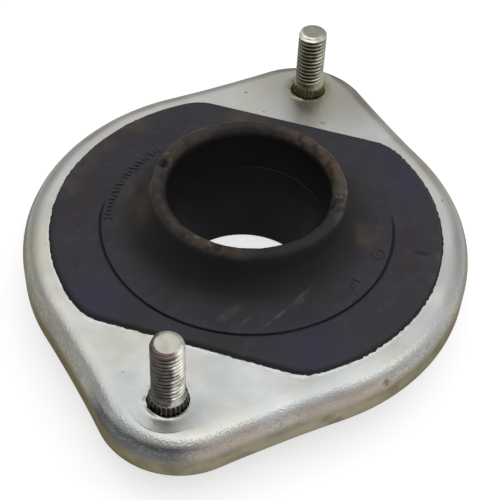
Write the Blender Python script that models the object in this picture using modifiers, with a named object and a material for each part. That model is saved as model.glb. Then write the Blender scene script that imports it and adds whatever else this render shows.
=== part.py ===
# Strut mount: a pressed steel shell with a rubber insulator bonded into its opening, a flanged
# steel sleeve inside the rubber and two knurled studs.
# The part stands on the sleeve's flange. Z is up, X runs through both studs and the origin is the
# centre of the foot. Lengths are in metres.

from math import asin, atan2, ceil, cos, hypot, pi, radians, sin, sqrt

import bmesh
import bpy
from mathutils import Matrix, Vector

MM = 0.001

# Pressed shell
STUD_PITCH = 120.0 * MM  # stud axis to stud axis
SHELL_MAIN_RADIUS = 59.0 * MM
SHELL_TIP_RADIUS = 21.0 * MM
SHELL_FLANK_RADIUS = 400.0 * MM  # the flanks are slightly hollow
SHELL_DEPTH = 11.5 * MM  # rim to the top face
SHELL_SHEET = 3.0 * MM
SHELL_BEND_INNER_RADIUS = 2.5 * MM
HEAD_TO_WALL = 3.0 * MM  # air between a stud's head and the end of the shell

# Flanged sleeve inside the rubber
BORE_RADIUS = 20.6 * MM  # rubber to rubber, at the mouth
BORE_DRAFT = 1.6 * MM  # how much narrower the bore is at its foot
SLEEVE_COVER = 1.4 * MM  # rubber on the sleeve's inner and outer wall
SLEEVE_SHEET = 2.0 * MM
SLEEVE_BEND_INNER_RADIUS = 3.0 * MM
FLANGE_WIDTH = 10.0 * MM  # beyond the sleeve's outer wall
FOOT_TO_RIM = 12.5 * MM  # how far the sleeve reaches below the shell's rim

# Rubber insulator
COLLAR_RISE = 15.0 * MM  # crest above the shell's top face
COLLAR_FILLET_RADIUS = 9.5 * MM
NECK_WALL = 13.0 * MM  # sleeve to the edge of the shell's opening
PAD_HEIGHT = 1.2 * MM  # above the shell's top face
PAD_RIM_BAND = 7.4 * MM  # bare steel between the pad and the shell's side
PAD_TO_STUD_AXIS = 16.6 * MM
PAD_CORNER_RADIUS = 12.8 * MM
PAD_EDGE_RADIUS = 0.7 * MM
PAD_STEP_RISE = 0.15 * MM  # the pad is a little higher inside its groove
GROOVE_TO_OPENING = 1.5 * MM  # the groove's centre line outside the opening
GROOVE_WIDTH = 0.6 * MM
GROOVE_DEPTH = 0.4 * MM
CUSHION_TO_WALL = 4.0 * MM  # air between the cushion and the shell's side
CUSHION_TO_HEAD = 3.0 * MM  # air between the cushion and the stud heads
CUSHION_BAND = 3.2 * MM  # straight side under the shell, above the waist
CUSHION_FOOT_BAND = 1.6 * MM  # straight side over the flange, below the waist
CUSHION_WAIST = 3.0 * MM  # how far the free side is hollowed
FLANGE_BARE_EDGE = 0.6 * MM
LINING_SETBACK = 0.5 * MM  # the lining's end above the foot

# Studs, M8 x 1.25, lengths from the shell's top face
THREAD_RADIUS = 4.0 * MM
STUD_RISE = 20.7 * MM
POINT_RADIUS = 3.3 * MM
POINT_LENGTH = 0.7 * MM
KNURL_RADIUS = 5.0 * MM
KNURL_RISE = 2.6 * MM
KNURL_DEPTH = 0.4 * MM
KNURL_TEETH = 24
KNURL_CAP_HEIGHT = 0.15 * MM  # smooth ring over the teeth
KNURL_CAP_INSET = 0.1 * MM
KNURL_CONE_HEIGHT = 0.6 * MM
HEAD_RADIUS = 7.0 * MM
HEAD_THICKNESS = 2.8 * MM
HEAD_CHAMFER = 0.4 * MM

# Clearances and smoothness
FIT_GAP = 0.3 * MM  # bonded and seated faces
OVERCUT = 1.0 * MM  # how far a cutter runs past what it cuts
JOIN_LAP = 0.3 * MM  # how far joined shapes reach into each other
WELD = 0.00001
TURN_STEPS = 48
STUD_TURN_STEPS = 32
FLANK_SEGMENTS = 5
PLAN_STEP = radians(7.5)
SECTION_STEP = radians(18.0)
SMOOTH_ANGLE = radians(40.0)
FLAT_ANGLE = radians(0.5)  # faces this close to one plane become one face

# Places that follow from the sizes
stud_x = STUD_PITCH / 2
tip_x = stud_x + HEAD_RADIUS + HEAD_TO_WALL + SHELL_SHEET - SHELL_TIP_RADIUS
rim_z = FOOT_TO_RIM
shell_top_z = rim_z + SHELL_DEPTH
shell_under_z = shell_top_z - SHELL_SHEET
sleeve_inner = BORE_RADIUS + SLEEVE_COVER
sleeve_outer = sleeve_inner + SLEEVE_SHEET
flange_radius = sleeve_outer + FLANGE_WIDTH
opening_radius = sleeve_outer + NECK_WALL
groove_radius = opening_radius + GROOVE_TO_OPENING
pad_top_z = shell_top_z + PAD_HEIGHT
step_top_z = pad_top_z + PAD_STEP_RISE
pad_radius = SHELL_MAIN_RADIUS - PAD_RIM_BAND
pad_flat_x = stud_x - PAD_TO_STUD_AXIS
collar_radius = sleeve_outer + SLEEVE_COVER
lip_radius = (collar_radius - BORE_RADIUS) / 2
lip_z = shell_top_z + COLLAR_RISE - lip_radius
cushion_radius = SHELL_MAIN_RADIUS - SHELL_SHEET - CUSHION_TO_WALL
cushion_flat_x = stud_x - HEAD_RADIUS - CUSHION_TO_HEAD


def material(name, colour, roughness, metallic):
    """A plain Principled material."""
    made = bpy.data.materials.new(name)
    made.use_nodes = True
    shader = made.node_tree.nodes["Principled BSDF"]
    shader.inputs["Base Color"].default_value = (*colour, 1.0)
    shader.inputs["Roughness"].default_value = roughness
    shader.inputs["Metallic"].default_value = metallic
    return made


def arc(centre, radius, start, end, step=SECTION_STEP):
    """Points on an arc from the start angle to the end angle, ends included."""
    count = max(2, ceil(round(abs(end - start) / step, 3)))
    angles = [start + (end - start) * i / count for i in range(count + 1)]
    return [(centre[0] + radius * cos(a), centre[1] + radius * sin(a)) for a in angles]


def hollow_between(start, end, depth):
    """The arc from start to end that lies to the right of its way, by depth at its middle."""
    chord = hypot(end[0] - start[0], end[1] - start[1])
    radius = (chord * chord / 4 + depth * depth) / (2 * depth)
    right = ((end[1] - start[1]) / chord, -(end[0] - start[0]) / chord)
    middle = ((start[0] + end[0]) / 2, (start[1] + end[1]) / 2)
    back = radius - depth
    centre = (middle[0] - right[0] * back, middle[1] - right[1] * back)
    facing = atan2(right[1], right[0])
    half = asin(min(1.0, chord / 2 / radius))
    return arc(centre, radius, facing - half, facing + half)


def four_way(quarter):
    """The closed outline whose quarter runs from the X axis to the Y axis."""
    half = quarter + [(-x, y) for x, y in reversed(quarter)]
    whole = half + [(x, -y) for x, y in reversed(half)]
    kept = [whole[0]]
    for point in whole[1:]:
        if min(hypot(point[0] - x, point[1] - y) for x, y in (kept[0], kept[-1])) > WELD:
            kept.append(point)
    return kept


def shell_outline(inset):
    """The shell's plan: a main round and two tip rounds, joined by slightly hollow flanks."""
    main_reach = SHELL_MAIN_RADIUS + SHELL_FLANK_RADIUS
    tip_reach = SHELL_TIP_RADIUS + SHELL_FLANK_RADIUS
    flank_x = (main_reach**2 - tip_reach**2 + tip_x**2) / (2 * tip_x)
    flank_y = sqrt(main_reach**2 - flank_x**2)
    main_angle = atan2(flank_y, flank_x)
    tip_angle = atan2(flank_y, flank_x - tip_x)
    flank = arc(
        (flank_x, flank_y),
        SHELL_FLANK_RADIUS + inset,
        tip_angle + pi,
        main_angle + pi,
        (tip_angle - main_angle) / FLANK_SEGMENTS,
    )
    return four_way(
        arc((tip_x, 0.0), SHELL_TIP_RADIUS - inset, 0.0, tip_angle, PLAN_STEP)
        + flank
        + arc((0.0, 0.0), SHELL_MAIN_RADIUS - inset, main_angle, pi / 2, PLAN_STEP)
    )


def pad_outline():
    """The pad's plan: a round with two flats that face the studs, and rounded corners."""
    if pad_flat_x >= pad_radius:
        return four_way(arc((0.0, 0.0), pad_radius, 0.0, pi / 2, PLAN_STEP))
    corner_x = pad_flat_x - PAD_CORNER_RADIUS
    corner_y = sqrt((pad_radius - PAD_CORNER_RADIUS) ** 2 - corner_x**2)
    corner_angle = atan2(corner_y, corner_x)
    return four_way(
        [(pad_flat_x, 0.0)]
        + arc((corner_x, corner_y), PAD_CORNER_RADIUS, 0.0, corner_angle, PLAN_STEP)
        + arc((0.0, 0.0), pad_radius, corner_angle, pi / 2, PLAN_STEP)
    )


def sleeve_profile(grown, below):
    """Half section of the flanged sleeve, grown on every side, with its foot at -below."""
    bend_outer = SLEEVE_BEND_INNER_RADIUS + SLEEVE_SHEET
    bend = (sleeve_outer + SLEEVE_BEND_INNER_RADIUS, bend_outer)
    foot = [(bend[0], -below)] if below else []
    bore_side = arc(bend, bend_outer + grown, 1.5 * pi, pi)
    flange_side = arc(bend, SLEEVE_BEND_INNER_RADIUS - grown, pi, 1.5 * pi)
    return (
        foot
        + bore_side
        + [
            (sleeve_inner - grown, lip_z + grown),
            (sleeve_outer + grown, lip_z + grown),
        ]
        + flange_side
        + [
            (flange_radius + grown, SLEEVE_SHEET + grown),
            (flange_radius + grown, -below),
        ]
    )


def insulator_profile():
    """Half section of the rubber, still solid where the sleeve goes, without the pad."""
    fillet = min(COLLAR_FILLET_RADIUS, groove_radius - collar_radius, lip_z - step_top_z)
    step_radius = groove_radius - GROOVE_WIDTH / 4
    step_under_z = shell_top_z + FIT_GAP + JOIN_LAP
    neck_radius = opening_radius - FIT_GAP
    under_z = shell_under_z - FIT_GAP
    foot_radius = flange_radius - FLANGE_BARE_EDGE
    foot_band_z = SLEEVE_SHEET + FIT_GAP + CUSHION_FOOT_BAND
    return (
        [(BORE_RADIUS - BORE_DRAFT, LINING_SETBACK)]
        + arc((BORE_RADIUS + lip_radius, lip_z), lip_radius, pi, 0.0)
        + arc((collar_radius + fillet, step_top_z + fillet), fillet, pi, 1.5 * pi)
        + [
            (step_radius, step_top_z),
            (step_radius, step_under_z),
            (neck_radius, step_under_z),
            (neck_radius, under_z),
            (cushion_radius, under_z),
        ]
        + hollow_between(
            (cushion_radius, under_z - CUSHION_BAND),
            (foot_radius, foot_band_z),
            CUSHION_WAIST,
        )
        + [(foot_radius, LINING_SETBACK)]
    )


def stud_profile():
    """Half section of a stud without its teeth, from the point down to the head."""
    head_top = -SHELL_SHEET - FIT_GAP
    head_bottom = head_top - HEAD_THICKNESS
    core_radius = KNURL_RADIUS - KNURL_DEPTH - JOIN_LAP
    cap_radius = KNURL_RADIUS - KNURL_CAP_INSET
    cap_top = KNURL_RISE + KNURL_CAP_HEIGHT
    return [
        (0.0, STUD_RISE),
        (POINT_RADIUS, STUD_RISE),
        (THREAD_RADIUS, STUD_RISE - POINT_LENGTH),
        (THREAD_RADIUS, cap_top + KNURL_CONE_HEIGHT),
        (cap_radius, cap_top),
        (cap_radius, KNURL_RISE - JOIN_LAP),
        (core_radius, KNURL_RISE - JOIN_LAP),
        (core_radius, head_top),
        (HEAD_RADIUS - HEAD_CHAMFER, head_top),
        (HEAD_RADIUS, head_top - HEAD_CHAMFER),
        (HEAD_RADIUS, head_bottom + HEAD_CHAMFER),
        (HEAD_RADIUS - HEAD_CHAMFER, head_bottom),
        (0.0, head_bottom),
    ]


def linked(name, data, collection):
    """A new object in a collection."""
    made = bpy.data.objects.new(name, data)
    collection.objects.link(made)
    return made


def evaluated_mesh(source, name):
    """A plain mesh of an object as its modifiers or its curve settings leave it."""
    bpy.context.view_layer.update()
    graph = bpy.context.evaluated_depsgraph_get()
    mesh = bpy.data.meshes.new_from_object(source.evaluated_get(graph))
    mesh.name = name
    return mesh


def turned(name, profile, closed, collection, steps=TURN_STEPS):
    """A half section of (radius, height) points, turned about Z by a Screw modifier."""
    mesh = bpy.data.meshes.new(name)
    shape = bmesh.new()
    points = [shape.verts.new((r, 0.0, z)) for r, z in profile]
    for first, second in zip(points, points[1:]):
        shape.edges.new((first, second))
    if closed:
        shape.edges.new((points[-1], points[0]))
    shape.to_mesh(mesh)
    shape.free()
    made = linked(name, mesh, collection)
    screw = made.modifiers.new("turn", "SCREW")
    screw.steps = steps
    screw.render_steps = steps
    screw.use_merge_vertices = True
    screw.merge_threshold = WELD
    return made


def round_top_edge(shape, top_z, radius):
    """Rounds the edges between the top face and the sides of a plate."""
    top_edges = [
        edge
        for edge in shape.edges
        if all(abs(vert.co.z - top_z) < WELD for vert in edge.verts)
        and abs(edge.calc_face_angle()) > SMOOTH_ANGLE
    ]
    bmesh.ops.bevel(
        shape,
        geom=top_edges,
        offset=radius,
        segments=round(pi / 2 / SECTION_STEP),
        profile=0.5,
        affect="EDGES",
    )


def plate(name, outline, bottom_z, top_z, edge_radius, collection):
    """A flat outline, thickened from bottom to top, with its top edge rounded."""
    curve = bpy.data.curves.new(name + "_outline", "CURVE")
    curve.dimensions = "2D"
    curve.fill_mode = "BOTH"
    curve.extrude = (top_z - bottom_z) / 2
    spline = curve.splines.new("POLY")
    spline.points.add(len(outline) - 1)
    for point, (x, y) in zip(spline.points, outline):
        point.co = (x, y, 0.0, 1.0)
    spline.use_cyclic_u = True
    guide = linked(name + "_outline", curve, collection)
    mesh = evaluated_mesh(guide, name)
    mesh.transform(Matrix.Translation((0.0, 0.0, (bottom_z + top_z) / 2)))
    bpy.data.objects.remove(guide)

    shape = bmesh.new()
    shape.from_mesh(mesh)
    bmesh.ops.remove_doubles(shape, verts=shape.verts, dist=WELD)
    bmesh.ops.dissolve_limit(
        shape, angle_limit=FLAT_ANGLE, verts=shape.verts, edges=shape.edges
    )
    round_top_edge(shape, top_z, edge_radius)
    bmesh.ops.recalc_face_normals(shape, faces=shape.faces)
    shape.to_mesh(mesh)
    shape.free()
    return linked(name, mesh, collection)


def cylinder(name, radius, bottom_z, top_z, x, collection):
    """An upright cylinder."""
    mesh = bpy.data.meshes.new(name)
    shape = bmesh.new()
    bmesh.ops.create_cone(
        shape,
        cap_ends=True,
        segments=TURN_STEPS,
        radius1=radius,
        radius2=radius,
        depth=top_z - bottom_z,
    )
    shape.to_mesh(mesh)
    shape.free()
    made = linked(name, mesh, collection)
    made.location = (x, 0.0, (bottom_z + top_z) / 2)
    return made


def block(name, low, high, collection):
    """A box between two corners."""
    mesh = bpy.data.meshes.new(name)
    shape = bmesh.new()
    bmesh.ops.create_cube(shape, size=1.0)
    bmesh.ops.scale(shape, vec=Vector(high) - Vector(low), verts=shape.verts)
    shape.to_mesh(mesh)
    shape.free()
    made = linked(name, mesh, collection)
    made.location = (Vector(low) + Vector(high)) / 2
    return made


def as_helper(made):
    """Marks an object as a cutter or a guide that isn't a piece of the mount."""
    made.hide_render = True
    made.display_type = "WIRE"
    return made


def combine(target, helper, operation):
    """Joins or cuts the target with a helper object."""
    boolean = target.modifiers.new(helper.name, "BOOLEAN")
    boolean.operation = operation
    boolean.object = as_helper(helper)
    boolean.solver = "EXACT"


def finish(made, finish_material):
    """Gives an object its material and a smooth shading with sharp edges kept."""
    made.data.materials.append(finish_material)
    made.data.shade_smooth()
    made.data.set_sharp_from_angle(angle=SMOOTH_ANGLE)


def make_shell(parts, cutters, steel):
    """The pressed cup with its opening and its two stud holes."""
    bend_outer = SHELL_BEND_INNER_RADIUS + SHELL_SHEET
    shell = plate(
        "pressed_shell", shell_outline(0.0), rim_z, shell_top_z, bend_outer, parts
    )
    hollow = plate(
        "shell_hollow",
        shell_outline(SHELL_SHEET),
        rim_z - OVERCUT,
        shell_under_z,
        SHELL_BEND_INNER_RADIUS,
        cutters,
    )
    combine(shell, hollow, "DIFFERENCE")
    low = shell_under_z - OVERCUT
    high = shell_top_z + OVERCUT
    opening = cylinder("shell_opening", opening_radius, low, high, 0.0, cutters)
    combine(shell, opening, "DIFFERENCE")
    for side, x in (("left", -stud_x), ("right", stud_x)):
        hole_radius = KNURL_RADIUS + FIT_GAP
        hole = cylinder("stud_hole_" + side, hole_radius, low, high, x, cutters)
        combine(shell, hole, "DIFFERENCE")
    finish(shell, steel)
    return shell


def make_sleeve(parts, steel):
    """The flanged sleeve that the rubber is bonded to."""
    sleeve = turned("inner_sleeve", sleeve_profile(0.0, 0.0), True, parts)
    finish(sleeve, steel)
    return sleeve


def make_pad(cutters):
    """The pad on the shell's face, open in the middle where the turned rubber goes."""
    pad_under_z = shell_top_z + FIT_GAP
    edge_radius = min(PAD_EDGE_RADIUS, pad_top_z - pad_under_z - WELD)
    pad = plate("pad", pad_outline(), pad_under_z, pad_top_z, edge_radius, cutters)
    hole_radius = (collar_radius + opening_radius) / 2
    hole = cylinder(
        "pad_hole", hole_radius, pad_under_z - OVERCUT, pad_top_z + OVERCUT, 0.0, cutters
    )
    combine(pad, hole, "DIFFERENCE")
    return pad


def make_groove_cutter(cutters):
    """The ring that cuts the pad's groove."""
    inner = groove_radius - GROOVE_WIDTH / 2
    outer = groove_radius + GROOVE_WIDTH / 2
    low = pad_top_z - GROOVE_DEPTH
    high = step_top_z + OVERCUT
    section = [(inner, low), (inner, high), (outer, high), (outer, low)]
    return turned("pad_groove", section, True, cutters)


def make_insulator(parts, cutters, rubber):
    """The rubber in one piece: collar, lining, pad, neck and cushion."""
    insulator = turned("rubber_insulator", insulator_profile(), True, parts)
    combine(insulator, make_pad(cutters), "UNION")
    combine(insulator, make_groove_cutter(cutters), "DIFFERENCE")
    sleeve_room = turned("sleeve_room", sleeve_profile(FIT_GAP, OVERCUT), True, cutters)
    combine(insulator, sleeve_room, "DIFFERENCE")
    if cushion_flat_x < cushion_radius:
        reach = cushion_radius + OVERCUT
        top_z = (shell_under_z + shell_top_z) / 2
        for side, way in (("left", -1.0), ("right", 1.0)):
            near_x, far_x = sorted((way * cushion_flat_x, way * reach))
            room = block(
                "head_room_" + side,
                (near_x, -reach, -OVERCUT),
                (far_x, reach, top_z),
                cutters,
            )
            combine(insulator, room, "DIFFERENCE")
    finish(insulator, rubber)
    return insulator


def make_teeth(cutters):
    """The knurl: a column whose every second edge is pulled in, run through the shell."""
    low = -SHELL_SHEET - FIT_GAP - JOIN_LAP
    mesh = bpy.data.meshes.new("stud_teeth")
    shape = bmesh.new()
    bmesh.ops.create_cone(
        shape,
        cap_ends=True,
        segments=2 * KNURL_TEETH,
        radius1=KNURL_RADIUS,
        radius2=KNURL_RADIUS,
        depth=KNURL_RISE - low,
    )
    root_share = 1.0 - KNURL_DEPTH / KNURL_RADIUS
    roots = [
        vert
        for vert in shape.verts
        if round(atan2(vert.co.y, vert.co.x) / (pi / KNURL_TEETH)) % 2
    ]
    bmesh.ops.scale(shape, vec=(root_share, root_share, 1.0), verts=roots)
    shape.to_mesh(mesh)
    shape.free()
    mesh.transform(Matrix.Translation((0.0, 0.0, (low + KNURL_RISE) / 2)))
    return linked("stud_teeth", mesh, cutters)


def make_studs(parts, cutters, steel):
    """The two studs, pressed in from below, on one shared mesh."""
    core = turned("stud_core", stud_profile(), False, cutters, STUD_TURN_STEPS)
    combine(core, make_teeth(cutters), "UNION")
    as_helper(core)
    mesh = evaluated_mesh(core, "stud")
    studs = []
    for side, x in (("left", -stud_x), ("right", stud_x)):
        stud = linked("stud_" + side, mesh, parts)
        stud.location = (x, 0.0, shell_top_z)
        studs.append(stud)
    finish(studs[0], steel)
    return studs


def main():
    """Builds the strut mount in an emptied scene."""
    for old in list(bpy.data.objects):
        bpy.data.objects.remove(old, do_unlink=True)
    parts = bpy.data.collections.new("strut_mount")
    cutters = bpy.data.collections.new("cutters")
    bpy.context.scene.collection.children.link(parts)
    bpy.context.scene.collection.children.link(cutters)

    zinc = material("zinc_plated_steel", (0.62, 0.63, 0.60), 0.38, 1.0)
    drawn = material("drawn_steel", (0.42, 0.41, 0.39), 0.45, 1.0)
    plated = material("plated_stud_steel", (0.50, 0.49, 0.45), 0.35, 1.0)
    rubber = material("black_rubber", (0.030, 0.029, 0.033), 0.62, 0.0)

    root = linked("strut_mount", None, parts)
    made = [
        make_shell(parts, cutters, zinc),
        make_sleeve(parts, drawn),
        make_insulator(parts, cutters, rubber),
        *make_studs(parts, cutters, plated),
    ]
    for part in made:
        part.parent = root


main()
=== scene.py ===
"""Looks of the strut mount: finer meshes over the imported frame, their finishes and a plain studio.

Every piece stands in the frame's own axes, in metres. Z runs up the bore, X through both studs,
and the mount stands on Z = 0. The photograph looks down on it from the left stud's end.
"""

import logging
from collections.abc import Sequence
from dataclasses import dataclass
from enum import Enum
from functools import reduce
from math import atan2, ceil, cos, exp, hypot, pi, radians, sin, sqrt, tau

import bmesh
import bpy
from mathutils import Matrix, Vector, noise
from mathutils.geometry import delaunay_2d_cdt
from mathutils.kdtree import KDTree


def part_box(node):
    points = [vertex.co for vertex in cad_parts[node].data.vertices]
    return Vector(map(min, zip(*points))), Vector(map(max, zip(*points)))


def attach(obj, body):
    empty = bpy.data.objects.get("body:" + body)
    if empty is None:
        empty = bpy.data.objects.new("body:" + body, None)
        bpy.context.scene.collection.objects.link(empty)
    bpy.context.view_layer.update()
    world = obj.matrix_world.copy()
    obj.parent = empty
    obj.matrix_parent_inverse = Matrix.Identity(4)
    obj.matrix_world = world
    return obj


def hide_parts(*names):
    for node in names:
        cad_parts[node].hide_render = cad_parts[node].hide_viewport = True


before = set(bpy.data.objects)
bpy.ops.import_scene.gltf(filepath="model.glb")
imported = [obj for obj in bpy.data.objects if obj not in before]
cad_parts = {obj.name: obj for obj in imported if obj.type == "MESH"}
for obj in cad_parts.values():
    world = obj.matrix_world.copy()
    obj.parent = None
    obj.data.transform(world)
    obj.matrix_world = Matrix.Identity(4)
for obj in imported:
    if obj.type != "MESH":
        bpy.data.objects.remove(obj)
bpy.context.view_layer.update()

MM = 0.001
WELD = 0.002 * MM
ROOT = "root"

Point2 = tuple[float, float]
Point3 = tuple[float, float, float]
Colour = tuple[float, float, float, float]
Socket = bpy.types.NodeSocket
Source = Socket | float | int | bool | tuple | Vector
Links = dict[str | int, Source]
Material = bpy.types.Material
Mesh = bpy.types.Mesh

log = logging.getLogger("strut_mount")


def linear(hex_colour: str) -> Colour:
    """Turns an sRGB hex colour into the linear one that Blender's sockets take.

    Args:
        hex_colour: six hex digits after a hash.

    Returns:
        Linear red, green and blue, and an alpha of one.
    """
    parts = [int(hex_colour[i : i + 2], 16) / 255.0 for i in (1, 3, 5)]
    return (*(p / 12.92 if p <= 0.04045 else ((p + 0.055) / 1.055) ** 2.4 for p in parts), 1.0)


def feed(tree: bpy.types.NodeTree, socket: Socket, source: Source) -> None:
    """Links an input to the output that feeds it, or gives it a plain value."""
    if isinstance(source, bpy.types.NodeSocket):
        tree.links.new(source, socket)
    else:
        socket.default_value = source


def add_node(
    tree: bpy.types.NodeTree, kind: str, links: Links | None = None, **settings: object
) -> bpy.types.Node:
    """Adds a node with its settings and its links.

    Args:
        tree: the tree that takes the node.
        kind: Blender's name for the type of node.
        links: for an input's name or number, the output that feeds it or its plain value.
        settings: the node's own properties.

    Returns:
        The new node.
    """
    node = tree.nodes.new(kind)
    for key, value in settings.items():
        setattr(node, key, value)
    for key, source in (links or {}).items():
        feed(tree, node.inputs[key], source)
    return node


@dataclass(frozen=True)
class Spot:
    """A soft-edged spot on a surface, by its centre and its radius in millimetres."""

    x: float
    y: float
    z: float
    radius: float

    @property
    def centre(self) -> Vector:
        """The centre in metres."""
        return Vector((self.x, self.y, self.z)) * MM

    def depth(self, x: float, y: float, z: float) -> float:
        """How strongly the spot reaches a point given in metres, from nothing to one."""
        far = hypot(x - self.x * MM, y - self.y * MM, z - self.z * MM)
        return exp(-((far / (0.6 * self.radius * MM)) ** 2))


class Graph:
    """One node tree, with words for the nodes that come back often."""

    def __init__(self, tree: bpy.types.NodeTree) -> None:
        """Takes the tree that gets the nodes."""
        self.tree = tree

    def out(self, kind: str, links: Links | None = None, result: str | int = 0, **settings: object) -> Socket:
        """Adds a node and hands over one of its outputs.

        Args:
            kind: Blender's name for the type of node.
            links: what feeds its inputs, as add_node takes it.
            result: the output's name or number.
            settings: the node's own properties.

        Returns:
            The output.
        """
        return add_node(self.tree, kind, links, **settings).outputs[result]

    def math(self, operation: str, *values: Source) -> Socket:
        """The result of one step of arithmetic."""
        return self.out("ShaderNodeMath", dict(enumerate(values)), operation=operation)

    def vector(self, operation: str, *values: Source, result: str | int = 0) -> Socket:
        """The result of one step of vector arithmetic."""
        return self.out("ShaderNodeVectorMath", dict(enumerate(values)), result, operation=operation)

    def length(self, x: Source, y: Source) -> Socket:
        """How far a place lies from an upright axis, by its two distances from it."""
        return self.vector("LENGTH", self.xyz(x, y), result="Value")

    def xyz(self, x: Source = 0.0, y: Source = 0.0, z: Source = 0.0) -> Socket:
        """A vector from its three parts."""
        return self.out("ShaderNodeCombineXYZ", {"X": x, "Y": y, "Z": z})

    def axes(self, place: Socket) -> tuple[Socket, ...]:
        """The three parts of a vector."""
        return tuple(add_node(self.tree, "ShaderNodeSeparateXYZ", {0: place}).outputs)

    def noise(self, place: Socket, scale: float, detail: float = 2.0, result: str = "Fac") -> Socket:
        """Noise over a place, at a scale in waves per metre."""
        links = {"Vector": place, "Scale": scale, "Detail": detail}
        return self.out("ShaderNodeTexNoise", links, result)

    def ramp(
        self,
        value: Source,
        low: Source = 0.0,
        high: Source = 1.0,
        start: Source = 0.0,
        end: Source = 1.0,
        smooth: bool = False,
    ) -> Socket:
        """A value carried from one range to another and kept inside it.

        Args:
            value: the value.
            low: where the first range starts.
            high: where the first range ends.
            start: what the low end becomes.
            end: what the high end becomes.
            smooth: whether the way between them eases in and out.

        Returns:
            The carried value.
        """
        links = {"Value": value, "From Min": low, "From Max": high, "To Min": start, "To Max": end}
        easing = "SMOOTHSTEP" if smooth else "LINEAR"
        return self.out("ShaderNodeMapRange", links, "Result", interpolation_type=easing)

    def fade(self, value: Source, empty: float, full: float) -> Socket:
        """A mask that grows smoothly from nothing, where a value is `empty`, to one at `full`."""
        rising = self.ramp(value, min(empty, full), max(empty, full), smooth=True)
        return rising if empty < full else self.math("SUBTRACT", 1.0, rising)

    def product(self, *masks: Source) -> Source:
        """The product of several masks."""
        return reduce(lambda made, mask: self.math("MULTIPLY", made, mask), masks)

    def strongest(self, *masks: Source) -> Source:
        """The greatest of several masks."""
        return reduce(lambda made, mask: self.math("MAXIMUM", made, mask), masks)

    def mix(self, share: Source, under: Source, over: Source, kind: str = "FLOAT") -> Socket:
        """A value between two, by the share of the second."""
        return self.out("ShaderNodeMix", {"Factor": share, "A": under, "B": over}, "Result", data_type=kind)

    def tint(self, share: Source, under: str | Source, over: str | Source) -> Socket:
        """One colour over another, each a hex colour or a socket, by the share of the upper one."""
        under, over = (linear(c) if isinstance(c, str) else c for c in (under, over))
        return self.mix(share, under, over, "RGBA")


class ShaderGraph(Graph):
    """A new node material with its Principled shader."""

    def __init__(self, name: str) -> None:
        """Starts the material under its name."""
        self.material = bpy.data.materials.new(name)
        self.material.use_nodes = True
        super().__init__(self.material.node_tree)
        self.shader = self.tree.nodes["Principled BSDF"]

    def plug(self, inputs: Links) -> None:
        """Feeds the shader's inputs by name."""
        for name, source in inputs.items():
            feed(self.tree, self.shader.inputs[name], source)


class Coat(ShaderGraph):
    """A finish in the making: its place on the surface and the colour laid down so far."""

    def __init__(self, name: str, base: str) -> None:
        """Starts the finish from its name and the hex colour under all others."""
        super().__init__(name)
        self.place = self.out("ShaderNodeTexCoord", result="Object")
        self.x, self.y, self.z = self.axes(self.place)
        self.colour: Source = linear(base)

    def lay(self, colour: str | Source, *masks: Source) -> None:
        """Lays a colour over the rest, through the product of some masks."""
        self.colour = self.tint(self.product(*masks), self.colour, colour)

    def grain(self, scale: float, detail: float = 2.0) -> Socket:
        """Noise over the surface, at a scale in waves per metre."""
        return self.noise(self.place, scale, detail)

    def between(self, low: float, full: float, top: float | None = None, end: float | None = None) -> Source:
        """The mask of a level band: it grows from `low` to `full` and fades from `end` back to `top`."""
        rising = self.fade(self.z, low, full)
        return rising if top is None else self.product(rising, self.fade(self.z, top, end))

    def spots(self, *spots: Spot, core: float = 0.35, place: Socket | None = None) -> Source:
        """The mask of soft spots.

        Args:
            spots: the spots, at least one.
            core: the share of each radius over which a spot is full.
            place: the place that is measured, if it isn't the plain one.

        Returns:
            The mask.
        """
        masks = []
        for spot in spots:
            far = self.vector("DISTANCE", self.place if place is None else place, spot.centre, result="Value")
            masks.append(self.fade(far, spot.radius * MM, spot.radius * MM * core))
        return self.strongest(*masks)

    def streak(self, start: Point3, end: Point3, width: float) -> Socket:
        """The mask of a long soft streak.

        Args:
            start: one end, in millimetres.
            end: the other end.
            width: how wide it is, in millimetres.

        Returns:
            The mask.
        """
        start, end = Vector(start) * MM, Vector(end) * MM
        along = end - start
        links = {
            "Vector": self.place,
            "Location": (start + end) / 2,
            "Rotation": (0.0, 0.0, atan2(along.y, along.x)),
            "Scale": (along.length / 2, width * MM / 2, 4.0 * MM),
        }
        local = self.out("ShaderNodeMapping", links, vector_type="TEXTURE")
        return self.fade(self.vector("LENGTH", local, result="Value"), 1.0, 0.2)

    def crumbs(self, scale: float, size: Point2, chosen: Point2) -> Source:
        """The mask of scattered crumbs.

        Args:
            scale: cells per metre, each with one crumb.
            size: where a crumb fades out and where it is full, in shares of a cell.
            chosen: the cells' random values between which crumbs start to show.

        Returns:
            The mask.
        """
        cells = add_node(self.tree, "ShaderNodeTexVoronoi", {"Vector": self.place, "Scale": scale}).outputs
        crumb = self.fade(cells["Distance"], *size)
        return self.product(crumb, self.fade(self.axes(cells["Color"])[0], *chosen))

    def done(self, inputs: Links, height: Source, strength: float, rise: float) -> Material:
        """Plugs the colour, the relief and the rest into the shader.

        Args:
            inputs: the shader's other inputs by name.
            height: the relief's height.
            strength: how much of the relief shows.
            rise: how high a height of one stands, in metres.

        Returns:
            The finished material.
        """
        links = {"Height": height, "Strength": strength, "Distance": rise}
        normal = self.out("ShaderNodeBump", links, "Normal")
        self.plug(inputs | {"Base Color": self.colour, "Normal": normal})
        return self.material


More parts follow.
